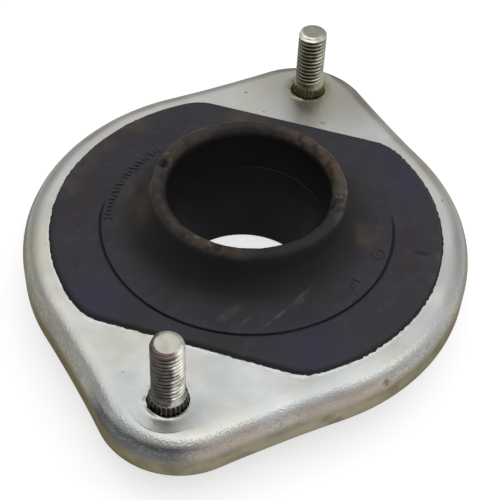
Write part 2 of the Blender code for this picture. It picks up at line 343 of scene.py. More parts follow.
@dataclass(frozen=True)
class MountLayout:
    """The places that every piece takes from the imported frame."""

    main_radius: float
    shell_reach: float
    rim_z: float
    top_z: float
    crest_z: float
    sleeve_top_z: float
    flange_radius: float
    stud_x: float
    stud_foot_z: float
    stud_top_z: float

    @classmethod
    def from_frame(cls) -> "MountLayout":
        """Reads the boxes of the CAD nodes.

        Returns:
            The mount's places.
        """
        shell_low, shell_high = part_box("pressed_shell")
        _, rubber_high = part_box("rubber_insulator")
        _, sleeve_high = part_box("inner_sleeve")
        stud_low, stud_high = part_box("stud_right")
        return cls(
            main_radius=shell_high[1],
            shell_reach=shell_high[0],
            rim_z=shell_low[2],
            top_z=shell_high[2],
            crest_z=rubber_high[2],
            sleeve_top_z=sleeve_high[2],
            flange_radius=sleeve_high[0],
            stud_x=(stud_low[0] + stud_high[0]) / 2,
            stud_foot_z=stud_low[2],
            stud_top_z=stud_high[2],
        )


def arc(centre: Point2, radius: float, start: float, end: float, count: int) -> list[Point2]:
    """Points on an arc, ends included.

    Args:
        centre: the arc's centre.
        radius: its radius.
        start: the first angle.
        end: the last angle.
        count: how many steps lie between them.

    Returns:
        The points, one more than the steps.
    """
    angles = [start + (end - start) * i / count for i in range(count + 1)]
    return [(centre[0] + radius * cos(a), centre[1] + radius * sin(a)) for a in angles]


def straight(start: Point2, end: Point2, count: int) -> list[Point2]:
    """Points on a straight line in so many steps, ends included."""
    shares = [i / count for i in range(count + 1)]
    return [(start[0] + (end[0] - start[0]) * s, start[1] + (end[1] - start[1]) * s) for s in shares]


def circle(x: float, radius: float, count: int) -> list[Point2]:
    """A closed ring of points around a point on the X axis."""
    return arc((x, 0.0), radius, 0.0, tau * (count - 1) / count, count - 1)


def flatted_reach(angle: float, round_radius: float, flat: float, corner: float) -> float:
    """How far a round with two flats and rounded corners reaches along an angle.

    Args:
        angle: the direction in the plan.
        round_radius: the radius of the round.
        flat: how far each flat lies from the middle.
        corner: the radius of the corners between the flats and the round.

    Returns:
        The distance from the middle to the outline.
    """
    if flat >= round_radius:
        return round_radius
    across, along = abs(cos(angle)), abs(sin(angle))
    corner_x = flat - corner
    corner_y = sqrt((round_radius - corner) ** 2 - corner_x**2)
    if flat * along <= corner_y * across:
        return flat / across
    if atan2(along, across) >= atan2(corner_y, corner_x):
        return round_radius
    middle = across * corner_x + along * corner_y
    return middle + sqrt(middle**2 - corner_x**2 - corner_y**2 + corner**2)


def ripple(x: float, y: float, z: float, length: float, seed: float) -> float:
    """Smooth unevenness between about -1 and 1 at a point, by a wave's length and a seed."""
    return noise.noise(Vector((x, y, z)) / length + Vector((seed, 2 * seed, 3 * seed)))


def bell(distance: float, width: float) -> float:
    """One at no distance, falling away smoothly over a width."""
    return exp(-((distance / width) ** 2))


def clamped(value: float) -> float:
    """A value kept between nothing and one."""
    return min(1.0, max(0.0, value))


def add_loft(shape: bmesh.types.BMesh, rings: Sequence[Sequence[Point3]], closed: bool) -> None:
    """Joins rings of equally many points with quads, the last also to the first if it is closed."""
    verts = [[shape.verts.new(point) for point in ring] for ring in rings]
    pairs = list(zip(verts, verts[1:]))
    if closed:
        pairs.append((verts[-1], verts[0]))
    for lower, upper in pairs:
        for i in range(len(lower)):
            j = (i + 1) % len(lower)
            shape.faces.new((lower[i], lower[j], upper[j], upper[i]))


def dressed(
    name: str,
    shape: bmesh.types.BMesh,
    finish: Material,
    replaced: str,
    sharp: float = radians(38.0),
) -> bpy.types.Object:
    """Turns a mesh into a finished piece that rides on the mount's one body.

    Args:
        name: the piece's name.
        shape: its mesh, which is freed.
        finish: its material.
        replaced: the CAD node that it stands for.
        sharp: edges that bend more than this are shown sharp.

    Returns:
        The piece.
    """
    bmesh.ops.remove_doubles(shape, verts=shape.verts, dist=WELD)
    bmesh.ops.recalc_face_normals(shape, faces=shape.faces)
    mesh = bpy.data.meshes.new(name)
    shape.to_mesh(mesh)
    shape.free()
    mesh.materials.clear()
    mesh.materials.append(finish)
    mesh.shade_smooth()
    mesh.set_sharp_from_angle(angle=sharp)
    piece = bpy.data.objects.new(name, mesh)
    bpy.context.scene.collection.objects.link(piece)
    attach(piece, ROOT)
    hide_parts(replaced)
    log.info("%s: %d faces, stands for %s", name, len(mesh.polygons), replaced)
    return piece


@dataclass(frozen=True)
class ZincPlate:
    """Bright zinc on pressed sheet steel.

    A barrel-plated pressing: a pale satin metal with cloudy blotches and a fine grain that sparkles
    where the sheet is bent. Grey patches at the right, the right tip, the bend's darker band with its
    bluish left tip and painted glints, and the bend's left end are painted shade and painted dark
    reflections; the dull olive tone of the drawn wall is partly the plating's tint and partly painted shade.
    """

    name: str = "bright_zinc_plated_steel"
    face: str = "#cfcfcc"
    face_cool: str = "#c4c8c7"
    face_warm: str = "#c8c5ba"
    left_cast: str = "#c5c4b5"
    # Painted shade for grey patches on the right half of the face.
    right_painted_shade: str = "#b3b6b5"
    wall: str = "#817c68"
    wall_pale: str = "#989281"
    wall_streak: str = "#676151"
    # Painted dark reflection on the bend's band.
    bend: str = "#a5a39b"
    # Painted dark reflection at the bend's left tip.
    blue_painted_reflection: str = "#515457"
    pink_bend: str = "#a6958a"
    shaded_tip: str = "#a8a59b"
    residue: str = "#7d7550"
    speck: str = "#4b4740"
    scraped: str = "#e6e6e2"
    grit: str = "#62615d"
    glint: str = "#b9b8b3"
    edge_tint: str = "#a39f94"
    roughness: float = 0.36
    wall_top_z: float = 17.5 * MM
    bend_top_z: float = 23.6 * MM
    rag: float = 2.6 * MM

    def material(self, layout: MountLayout, pad: "PadPlan") -> Material:
        """Builds the material.

        Args:
            layout: the mount's places.
            pad: the rubber pad's plan, beside which the plating is scraped.

        Returns:
            The material.
        """
        coat = Coat(self.name, self.face)
        self._clouds(coat)
        self._wall(coat)
        self._bend(coat)
        self._marks(coat, layout)
        scraped = self._scraped(coat, pad)
        coat.lay(self.scraped, scraped)
        broad = coat.grain(140.0, 3.0)
        rough = coat.ramp(broad, 0.3, 0.7, self.roughness - 0.07, self.roughness + 0.1)
        rough = coat.math("ADD", rough, coat.product(scraped, 0.2))
        inputs = {"Metallic": 1.0, "Specular Tint": linear(self.edge_tint), "Roughness": rough}
        return coat.done(inputs, self._height(coat, broad, scraped), 0.6, 0.06 * MM)

    def _clouds(self, coat: Coat) -> None:
        """The cloudy blotches of the plating, cool, warm and olive at the left, and painted shade in
        grey patches at the right.

        Args:
            coat: the finish in the making.
        """
        warm = coat.noise(coat.vector("ADD", coat.place, (0.4, 0.1, 0.7)), 65.0, 5.0)
        left = coat.spots(Spot(-52, 22, 24, 14), Spot(-28, 49, 24, 16))
        right = coat.spots(
            Spot(-23, -52, 23, 16), Spot(3, -55, 23, 14), Spot(-45, -31, 24, 10), Spot(-61, -8.5, 24, 6.5)
        )
        coat.lay(self.face_cool, coat.fade(coat.grain(42.0, 4.0), 0.4, 0.6))
        coat.lay(self.face_warm, coat.fade(warm, 0.46, 0.68))
        coat.lay(self.left_cast, left, coat.fade(warm, 0.35, 0.6), 0.7)
        # Painted shade: grey patches on the right half of the face, one of them just right of the left stud.
        coat.lay(self.right_painted_shade, right, 0.55)

    def _wall(self, coat: Coat) -> None:
        """The dull, streaked olive tone of the drawn wall, paler towards -Y, partly the plating's tint
        and partly painted shade; where it climbs the bend at the left it is painted shade.
        """
        low = coat.between(self.wall_top_z + 3.8 * MM, self.wall_top_z + 0.6 * MM)
        # Painted shade: at the left end the wall's darker tone climbs over the bend.
        climbing = coat.fade(coat.z, self.bend_top_z - 0.8 * MM, self.bend_top_z - 2.8 * MM)
        left = coat.product(coat.fade(coat.y, 8.0 * MM, 32.0 * MM), climbing, 0.92)
        # The wall's olive tone, paler towards -Y, is partly the plating's tint and partly painted shade.
        film_and_shade = coat.tint(coat.fade(coat.y, 10.0 * MM, -35.0 * MM), self.wall, self.wall_pale)
        streaks = coat.product(coat.fade(coat.grain(150.0, 6.0), 0.45, 0.7), 0.6)
        coat.lay(coat.tint(streaks, film_and_shade, self.wall_streak), coat.strongest(low, left))

    def _bend(self, coat: Coat) -> None:
        """The drawn bend: a darker band all round and a dark bluish one at the left tip, both painted
        reflections, the bluish one with painted glints, and the plating's pinkish tint beside it.

        Args:
            coat: the finish in the making.
        """
        top = self.bend_top_z
        lower = coat.fade(coat.z, self.wall_top_z - 1.2 * MM, self.wall_top_z + 2.0 * MM)
        patchy = coat.math("MULTIPLY_ADD", coat.grain(210.0, 5.0), 0.9, 0.4)
        band = coat.product(coat.fade(coat.z, top - 0.8 * MM, top - 2.8 * MM), lower, patchy)
        tip = coat.spots(Spot(-71, 5, 18.5, 20), core=0.5)
        blue = coat.product(coat.fade(coat.z, top - 1.0 * MM, top - 2.1 * MM), lower, tip)
        pink = coat.spots(Spot(-64, -17, 20, 14), Spot(-44, -38, 20, 20))
        grit = coat.grain(2000.0, 3.0)
        # Painted reflections: the darker band all round and the dark bluish left tip stand for the dim
        # surround that the bend reflects; the glint specks on the tip are painted highlights.
        coat.lay(self.bend, band, 0.8)
        coat.lay(self.blue_painted_reflection, blue, 0.92)
        coat.lay(self.grit, band, coat.fade(grit, 0.5, 0.6), 0.5)
        coat.lay(self.glint, blue, coat.fade(grit, 0.52, 0.36), 0.2)
        coat.lay(self.pink_bend, band, pink, 0.75)

    def _marks(self, coat: Coat, layout: MountLayout) -> None:
        """The shaded right tip, the residue round its stud, and ragged specks and crumbs.

        Args:
            coat: the finish in the making.
            layout: the mount's places.
        """
        stud_x, top = layout.stud_x / MM, layout.top_z / MM
        coat.lay(self.shaded_tip, coat.spots(Spot(stud_x + 7, -6, top, 31), core=0.3), 0.9)
        coat.lay(self.residue, coat.spots(Spot(stud_x, 0, top, 8.5), core=0.55), 0.55)
        jitter = coat.vector("SUBTRACT", coat.noise(coat.place, 1300.0, result="Color"), (0.5, 0.5, 0.5))
        specks = coat.spots(
            Spot(-56.0, 12.6, top, 0.6),
            Spot(-56.1, 22.0, 22, 1.0),
            Spot(-50.7, 27.7, 22, 0.9),
            Spot(-43.8, 36.5, 22, 0.9),
            Spot(-46.7, 32.3, 22, 0.8),
            Spot(26.2, -47.2, top, 0.7),
            Spot(46.3, -8.1, top, 0.8),
            Spot(-20.6, 51.9, 22, 0.8),
            Spot(-35.5, -46.3, 20, 1.5),
            place=coat.vector("MULTIPLY_ADD", jitter, (self.rag,) * 3, coat.place),
        )
        coat.lay(self.speck, specks, 0.6)
        coat.lay(self.speck, coat.crumbs(130.0, (0.075, 0.03), (0.62, 0.66)), 0.6)

    def _scraped(self, coat: Coat, pad: "PadPlan") -> Source:
        """The bright ragged line where moulding flash was scraped off the steel."""
        flat_gap = coat.math("SUBTRACT", coat.math("ABSOLUTE", coat.x), pad.flat)
        round_gap = coat.math("SUBTRACT", coat.length(coat.x, coat.y), pad.radius)
        gap = coat.strongest(flat_gap, round_gap)
        jagged = coat.math("MULTIPLY_ADD", coat.grain(1100.0, 3.0), -1.1 * MM, gap)
        near = coat.fade(jagged, 0.32 * MM, -0.04 * MM)
        left_end = coat.fade(coat.x, -8.0 * MM, -25.0 * MM)
        return coat.product(near, left_end, coat.fade(coat.grain(320.0), 0.36, 0.52), 0.9)

    def _height(self, coat: Coat, broad: Socket, scraped: Source) -> Socket:
        """The relief: a fine grain, sparkle on the bend, and shear lines along the rim.

        Args:
            coat: the finish in the making.
            broad: the plating's broad clouds.
            scraped: the mask of the scraped line.

        Returns:
            The height.
        """
        upright = coat.out("ShaderNodeMapping", {"Vector": coat.place, "Scale": (1500.0, 1500.0, 60.0)})
        shear = coat.product(coat.noise(upright, 1.0), coat.fade(coat.z, 16.2 * MM, 14.6 * MM))
        top, foot = self.bend_top_z, self.wall_top_z
        stretched = coat.between(top + 0.3 * MM, top - 0.4 * MM, foot - 1.0 * MM, foot + 1.0 * MM)
        sparkle = coat.product(coat.grain(2000.0), stretched)
        height = coat.grain(1500.0, 3.0)
        for layer, rise in ((sparkle, 3.7), (shear, 3.0), (broad, 0.35), (scraped, 1.5)):
            height = coat.math("MULTIPLY_ADD", layer, rise, height)
        return height


@dataclass(frozen=True)
class DrawnSteel:
    """Low-carbon steel tube, drawn and flanged, left bare under a film of oil.

    It is duller and warmer than the plated shell, with fine rings from the flanging tool.
    """

    name: str = "drawn_low_carbon_steel"
    bright: str = "#a19c92"
    dull: str = "#7c766b"
    rust: str = "#6a4c36"
    roughness: float = 0.42
    ring_pitch: float = 0.9 * MM

    def material(self) -> Material:
        """Builds the material."""
        coat = Coat(self.name, self.bright)
        cloud = coat.grain(90.0, 5.0)
        coat.lay(self.dull, coat.fade(cloud, 0.4, 0.65))
        coat.lay(self.rust, coat.fade(coat.grain(210.0, 6.0), 0.6, 0.74), 0.7)
        rough = coat.ramp(cloud, start=self.roughness - 0.1, end=self.roughness + 0.16)
        links = {"Vector": coat.place, "Scale": 1.0 / (self.ring_pitch * 20.0), "Distortion": 0.6}
        rings = coat.out("ShaderNodeTexWave", links, "Fac", wave_type="RINGS", rings_direction="Z")
        return coat.done({"Metallic": 1.0, "Roughness": rough}, rings, 0.35, 0.02 * MM)


@dataclass(frozen=True)
class StudSteel:
    """Cold-headed stud steel with a rolled thread and a thin worn zinc plating.

    Crests are bright from the nuts, the roots, the knurl and the foot are darker, and the tone is
    warm. Painted shade darkens each stud all round except its right side, towards -Y; the left
    stud's rounded end has a painted dark reflection on one side, the right stud's a painted highlight.
    """

    name: str = "rolled_plated_stud_steel"
    bright: str = "#e8e5dc"
    worn: str = "#a9a69b"
    shoulder_painted_highlight: str = "#f1eee5"
    root_dark: str = "#35312b"
    dull: str = "#383430"
    knurl_dark: str = "#2b2826"
    shoulder_painted_reflection: str = "#62564f"
    olive: str = "#848360"
    roughness: float = 0.3
    crest_radius: float = 4.0 * MM
    root_radius: float = 3.3 * MM
    knurl_taper: float = 0.115

    def material(self, layout: MountLayout, knurl_top: float) -> Material:
        """Builds the material.

        Args:
            layout: the mount's places.
            knurl_top: the height where the knurl ends.

        Returns:
            The material.
        """
        coat = Coat(self.name, self.bright)
        top = layout.stud_top_z
        cloud = coat.grain(420.0, 4.0)
        outwards = coat.math("SUBTRACT", coat.math("ABSOLUTE", coat.x), layout.stud_x)
        off_axis = coat.product(outwards, coat.math("SIGN", coat.x))
        radius = coat.length(outwards, coat.y)
        far_stud, near_stud = (coat.fade(coat.x, 0.0, x) for x in (10.0 * MM, -10.0 * MM))
        blotchy = coat.math("MULTIPLY_ADD", cloud, 0.7, 0.45)
        root = coat.fade(radius, self.crest_radius - 0.12 * MM, self.root_radius + 0.1 * MM)
        on_thread = coat.between(knurl_top + 0.4 * MM, knurl_top + 1.0 * MM, top - 0.9 * MM, top - 1.6 * MM)
        leaning = coat.math("MULTIPLY_ADD", off_axis, 0.3, coat.y)
        away = coat.math("MULTIPLY_ADD", cloud, 1.6 * MM, leaning)
        # Painted shade: each stud is darker all round except on its right side, towards -Y, where the light
        # falls.
        film_and_shade = coat.product(
            coat.fade(away, -2.9 * MM, -1.8 * MM),
            coat.between(knurl_top - 0.4 * MM, knurl_top + 0.3 * MM, top - 0.25 * MM, top - 0.7 * MM),
            coat.ramp(coat.x, -10 * MM, 10 * MM, 0.88, 0.7),
        )
        tapered = coat.math(
            "MULTIPLY_ADD", coat.math("SUBTRACT", coat.z, knurl_top), self.knurl_taper, radius
        )
        knurl = coat.product(
            coat.fade(coat.z, knurl_top + 0.2 * MM, knurl_top - 0.2 * MM),
            coat.fade(tapered, 4.68 * MM, 4.45 * MM),
        )
        foot = layout.top_z
        collar = coat.between(foot - 0.6 * MM, foot, knurl_top + 0.1 * MM, knurl_top - 0.4 * MM)
        rolled = coat.product(
            coat.fade(radius, 2.8 * MM, 3.1 * MM), coat.fade(coat.z, top - 1.7 * MM, top - 1.1 * MM)
        )
        ahead = coat.math("MULTIPLY_ADD", off_axis, -1.3, coat.y)
        low = coat.fade(coat.z, knurl_top + 3.0 * MM, knurl_top - 0.5 * MM)
        for colour, *masks in (
            (self.worn, coat.fade(cloud, 0.4, 0.7)),
            (self.dull, film_and_shade),
            # Darker in the thread's roots, on the knurl and at the foot.
            (self.root_dark, root, on_thread, blotchy),
            (self.knurl_dark, knurl, 0.95),
            (self.dull, collar, blotchy, 0.9),
            # Painted dark reflection on one side of the left stud's rounded end.
            (self.shoulder_painted_reflection, rolled, near_stud, coat.fade(ahead, -2.2 * MM, 1.8 * MM), 0.92),
            (self.worn, coat.fade(coat.z, top - 0.12 * MM, top - 0.05 * MM), 0.72),
            (self.olive, far_stud, low, 0.75),
            (self.olive, far_stud, 0.4),
            # Painted highlight on one side of the right stud's rounded end.
            (self.shoulder_painted_highlight, rolled, far_stud, coat.fade(ahead, 1.0 * MM, 4.0 * MM)),
        ):
            coat.lay(colour, *masks)
        rough = coat.ramp(cloud, start=self.roughness - 0.07, end=self.roughness + 0.16)
        return coat.done({"Metallic": 1.0, "Roughness": rough}, coat.grain(2400.0), 0.4, 0.03 * MM)


@dataclass(frozen=True)
class MouldedRubber:
    """Natural rubber with carbon black, compression moulded.

    Matt and bluish black on the moulded flats, with a brown bloom of wax and dust on the lip and
    along parts of the pad's edge. Painted shade darkens the collar's flare, the groove, the foot of
    the pad's bevel, a gouge, the lip's pits and the bore.
    """

    name: str = "moulded_natural_rubber"
    flat: str = "#29282e"
    purple: str = "#2b252b"
    flare: str = "#0b0b0d"
    stain: str = "#382b24"
    flake: str = "#675b4e"
    bluish: str = "#262840"
    bloom: str = "#4b4130"
    scuff: str = "#37373f"
    lip: str = "#382e26"
    # Painted shade, used on the flare, in the groove, at the foot of the pad's bevel and in a gouge.
    lip_dark: str = "#111012"
    rust: str = "#4b3b2e"
    worn_lip: str = "#4a4336"
    # Painted shade, used down the bore and in the lip's pits.
    bore: str = "#070709"
    seam: str = "#47433f"
    dust: str = "#69676a"
    roughness: float = 0.62
    gloss: float = 0.36
    bore_gloss: float = 0.16
    groove_radius: float = 38.5 * MM
    seam_z: float = 26.8 * MM

    def material(self, layout: MountLayout) -> Material:
        """Builds the material.

        Args:
            layout: the mount's places.

        Returns:
            The material.
        """
        coat = Coat(self.name, self.flat)
        shell = layout.top_z
        radius = coat.length(coat.x, coat.y)
        cloud = coat.grain(75.0, 5.0)
        off_groove = coat.math("ABSOLUTE", coat.math("SUBTRACT", radius, self.groove_radius))
        sunk = coat.fade(coat.z, shell + 1.1 * MM, shell + 0.95 * MM)
        coat.lay(self.purple, coat.fade(cloud, 0.42, 0.62))
        coat.lay(self.scuff, coat.fade(coat.grain(380.0, 7.0), 0.5, 0.7), 0.45)
        # Painted shade: darker towards the collar on the flare under the lip.
        coat.lay(self.flare, coat.fade(radius, 36.0 * MM, 27.0 * MM))
        # Painted shade: the groove's dark line.
        coat.lay(self.flare, coat.fade(off_groove, 0.45 * MM, 0.28 * MM), sunk)
        self._tints(coat, shell / MM + 1.2)
        # Painted shadow at the foot of the pad's bevel.
        bevel = coat.fade(coat.z, shell + 0.85 * MM, shell + 0.35 * MM)
        coat.lay(self.flare, bevel, coat.fade(radius, 40.0 * MM, 41.5 * MM), 0.85)
        # Painted shade in a gouge across the pad's right edge.
        coat.lay(self.flare, coat.streak((4.1, -42.6, 25.2), (4.3, -49.4, 25.2), 2.2), 0.95)
        self._collar(coat, radius, layout.crest_z)
        coat.lay(self.dust, self._scratches(coat))
        inputs = {
            "Roughness": coat.ramp(cloud, start=self.roughness - 0.1, end=self.roughness + 0.14),
            "Specular IOR Level": coat.ramp(
                coat.fade(radius, 22.4 * MM, 21.2 * MM), start=self.gloss, end=self.bore_gloss
            ),
        }
        height = coat.math("MULTIPLY_ADD", cloud, 2.0, coat.grain(1500.0, 3.0))
        return coat.done(inputs, height, 0.45, 0.05 * MM)

    def _tints(self, coat: Coat, pad: float) -> None:
        """Bluish corners, brown bloom and one rusty stain on the pad.

        Args:
            coat: the finish in the making.
            pad: the height of the pad's face, in millimetres.
        """
        blue = coat.spots(
            Spot(-38, 27, pad, 13),
            Spot(-37, -29, pad, 14),
            Spot(38, -31, pad, 11),
            Spot(28, -38, pad, 10),
            core=0.2,
        )
        bloom = coat.spots(
            Spot(7, 50.5, pad, 8),
            Spot(16, 48, pad, 7),
            Spot(26, 43.5, pad, 8),
            Spot(-4, 50, pad, 6),
            Spot(4, -51, pad - 0.6, 3.6),
            Spot(-2, -51, pad - 0.6, 3.8),
            Spot(1, 29, pad + 2, 10),
            Spot(-9, 27, pad + 4, 8),
            Spot(38, 12, pad, 9),
            core=0.1,
        )
        broken = coat.fade(coat.grain(130.0, 5.0), 0.3, 0.7)
        coat.lay(self.bluish, blue, 0.6)
        coat.lay(self.bloom, bloom, broken, 0.8)
        coat.lay(self.rust, coat.spots(Spot(4.5, -31, pad + 1, 6.5), core=0.1), broken, 0.8)

    def _collar(self, coat: Coat, radius: Socket, crest_z: float) -> None:
        """The brown lip with its rusty side and chips, and its pits and the bore painted near black as shade.

        Args:
            coat: the finish in the making.
            radius: the distance from the bore's axis.
            crest_z: the height of the lip's crest.
        """
        crest = crest_z / MM
        ragged = coat.grain(330.0, 6.0)
        flaky = coat.fade(ragged, 0.36, 0.6)
        past_mouth = coat.fade(radius, 20.9 * MM, 21.8 * MM)
        on_lip = coat.product(coat.fade(coat.z, crest_z - 2.6 * MM, crest_z - 0.9 * MM), past_mouth)
        below = coat.product(coat.fade(coat.z, crest_z - 8.0 * MM, crest_z - 2.0 * MM), past_mouth)
        front = coat.spots(Spot(-12, -19, crest, 20), core=0.6)
        bare = coat.math("SUBTRACT", 1.0, coat.product(front, 0.85))
        stained = coat.spots(Spot(-8, 27, 33, 13), Spot(5, 27, 33, 10), Spot(20, -17, 33, 11), core=0.2)
        outside = coat.fade(radius, 22.6 * MM, 24.0 * MM)
        rusty = coat.spots(Spot(19, -10, crest, 10), Spot(14, -18, crest, 7))
        chipped = coat.spots(
            Spot(17, -15, crest, 7), Spot(4, -23, crest, 7), Spot(-23, 7, crest, 7), Spot(2, 22, crest, 5)
        )
        pits = coat.spots(Spot(0.5, 23.6, 37.6, 1.9), Spot(-23.7, 0.4, 38.4, 1.4), core=0.6)
        inside = coat.fade(radius, 21.6 * MM, 20.8 * MM)
        for colour, *masks in (
            (self.lip_dark, on_lip, 0.9),
            (self.lip, below, bare, 0.15),
            (self.stain, stained, outside, coat.fade(ragged, 0.3, 0.62), 0.85),
            (self.lip, on_lip, bare, coat.math("MULTIPLY_ADD", flaky, 0.75, 0.25)),
            (self.lip_dark, on_lip, coat.spots(Spot(22, 9, crest, 11), core=0.5), 0.6),
            (self.rust, on_lip, rusty, flaky, 0.9),
            (self.worn_lip, on_lip, coat.spots(Spot(4, -23, crest, 11), core=0.5), flaky, 0.85),
            (self.flake, on_lip, chipped, coat.fade(coat.grain(520.0, 3.0), 0.58, 0.66), 0.6),
            (self.bluish, coat.spots(Spot(-4.2, 22.2, 38.0, 3.4)), 0.3),
            # Painted shade: the lip's pits and the bore are painted near black.
            (self.bore, pits, 0.95),
            (self.bore, inside, 0.95),
            (self.seam, self._parting_line(coat, inside)),
        ):
            coat.lay(colour, *masks)

    def _parting_line(self, coat: Coat, inside: Source) -> Source:
        """The worn parting line of the mould, seen on the far wall of the bore."""
        height = coat.math("MULTIPLY_ADD", coat.grain(60.0), 1.2 * MM, coat.z)
        off = coat.math("ABSOLUTE", coat.math("SUBTRACT", height, self.seam_z))
        far_wall = coat.spots(Spot(19, -7, 26.2, 16), core=0.5)
        return coat.product(inside, far_wall, coat.fade(off, 0.22 * MM, 0.05 * MM), 0.9)

    def _scratches(self, coat: Coat) -> Source:
        """Light rubbed streaks across the flare on the left stud's side, and pale crumbs.

        Args:
            coat: the finish in the making.

        Returns:
            The mask.
        """
        streaks = [
            coat.product(coat.streak(start, end, width), share)
            for start, end, width, share in (
                ((-36.2, -2.8, 25.4), (-28.0, -8.8, 26.6), 3.6, 0.2),
                ((-36.0, -8.4, 25.4), (-30.5, -11.4, 25.8), 1.5, 0.24),
                ((-35.2, -13.6, 25.4), (-22.6, -20.4, 26.2), 1.2, 0.34),
                ((-27.2, -18.4, 25.7), (-18.6, -23.0, 27.0), 2.8, 0.18),
                ((-25.0, -18.9, 26.0), (-17.0, -23.4, 27.0), 0.9, 0.3),
            )
        ]
        lines = coat.product(coat.fade(coat.grain(420.0, 6.0), 0.22, 0.66), coat.strongest(*streaks))
        crumbs = coat.product(coat.crumbs(170.0, (0.05, 0.02), (0.8, 0.83)), 0.7)
        return coat.strongest(lines, crumbs)


@dataclass(frozen=True)
class PaperFloor:
    """Matt white photo paper.

    It glows a little towards what looks at it, straight or by reflection, so that it reads as a
    white ground and keeps the mount's shadow. From below it is clear, so that it hides nothing.
    """

    name: str = "matt_white_paper"
    colour: str = "#c4c4c4"
    glow: float = 0.62

    def material(self) -> Material:
        """Builds the material.

        Returns:
            The paper.
        """
        paper = ShaderGraph(self.name)
        rays = add_node(paper.tree, "ShaderNodeLightPath").outputs
        seen = paper.strongest(*(rays[f"Is {kind} Ray"] for kind in ("Camera", "Glossy", "Transmission")))
        paper.plug({
            "Base Color": linear(self.colour),
            "Roughness": 0.9,
            "Specular IOR Level": 0.0,
            "Emission Color": (1.0, 1.0, 1.0, 1.0),
            "Emission Strength": paper.product(seen, self.glow),
        })
        below = paper.out("ShaderNodeNewGeometry", result="Backfacing")
        clear = paper.out("ShaderNodeBsdfTransparent")
        both = paper.out("ShaderNodeMixShader", {0: below, 1: paper.shader.outputs[0], 2: clear})
        feed(paper.tree, paper.tree.nodes["Material Output"].inputs["Surface"], both)
        return paper.material


@dataclass(frozen=True)
class LensPlan:
    """The shell's plan: a main round and two tip rounds, joined by slightly hollow flanks."""

    main_radius: float
    reach: float
    tip_radius: float = 21.0 * MM
    flank_radius: float = 400.0 * MM
    tip_steps: int = 18
    flank_steps: int = 34
    main_steps: int = 52

    def loop(self, inset: float) -> list[Point2]:
        """The closed outline, with equally many points for each inset.

        Args:
            inset: how far it is moved inwards.

        Returns:
            Its points.
        """
        tip_x = self.reach - self.tip_radius
        main_reach = self.main_radius + self.flank_radius
        tip_reach = self.tip_radius + self.flank_radius
        flank_x = (main_reach**2 - tip_reach**2 + tip_x**2) / (2 * tip_x)
        flank_y = sqrt(main_reach**2 - flank_x**2)
        main_angle, tip_angle = atan2(flank_y, flank_x), atan2(flank_y, flank_x - tip_x)
        flank_reach, flank_steps = self.flank_radius + inset, self.flank_steps
        quarter = (
            arc((tip_x, 0.0), self.tip_radius - inset, 0.0, tip_angle, self.tip_steps)[:-1]
            + arc((flank_x, flank_y), flank_reach, tip_angle + pi, main_angle + pi, flank_steps)[:-1]
            + arc((0.0, 0.0), self.main_radius - inset, main_angle, pi / 2, self.main_steps)
        )
        half = quarter + [(-x, y) for x, y in reversed(quarter[:-1])]
        return half + [(x, -y) for x, y in reversed(half[1:-1])]


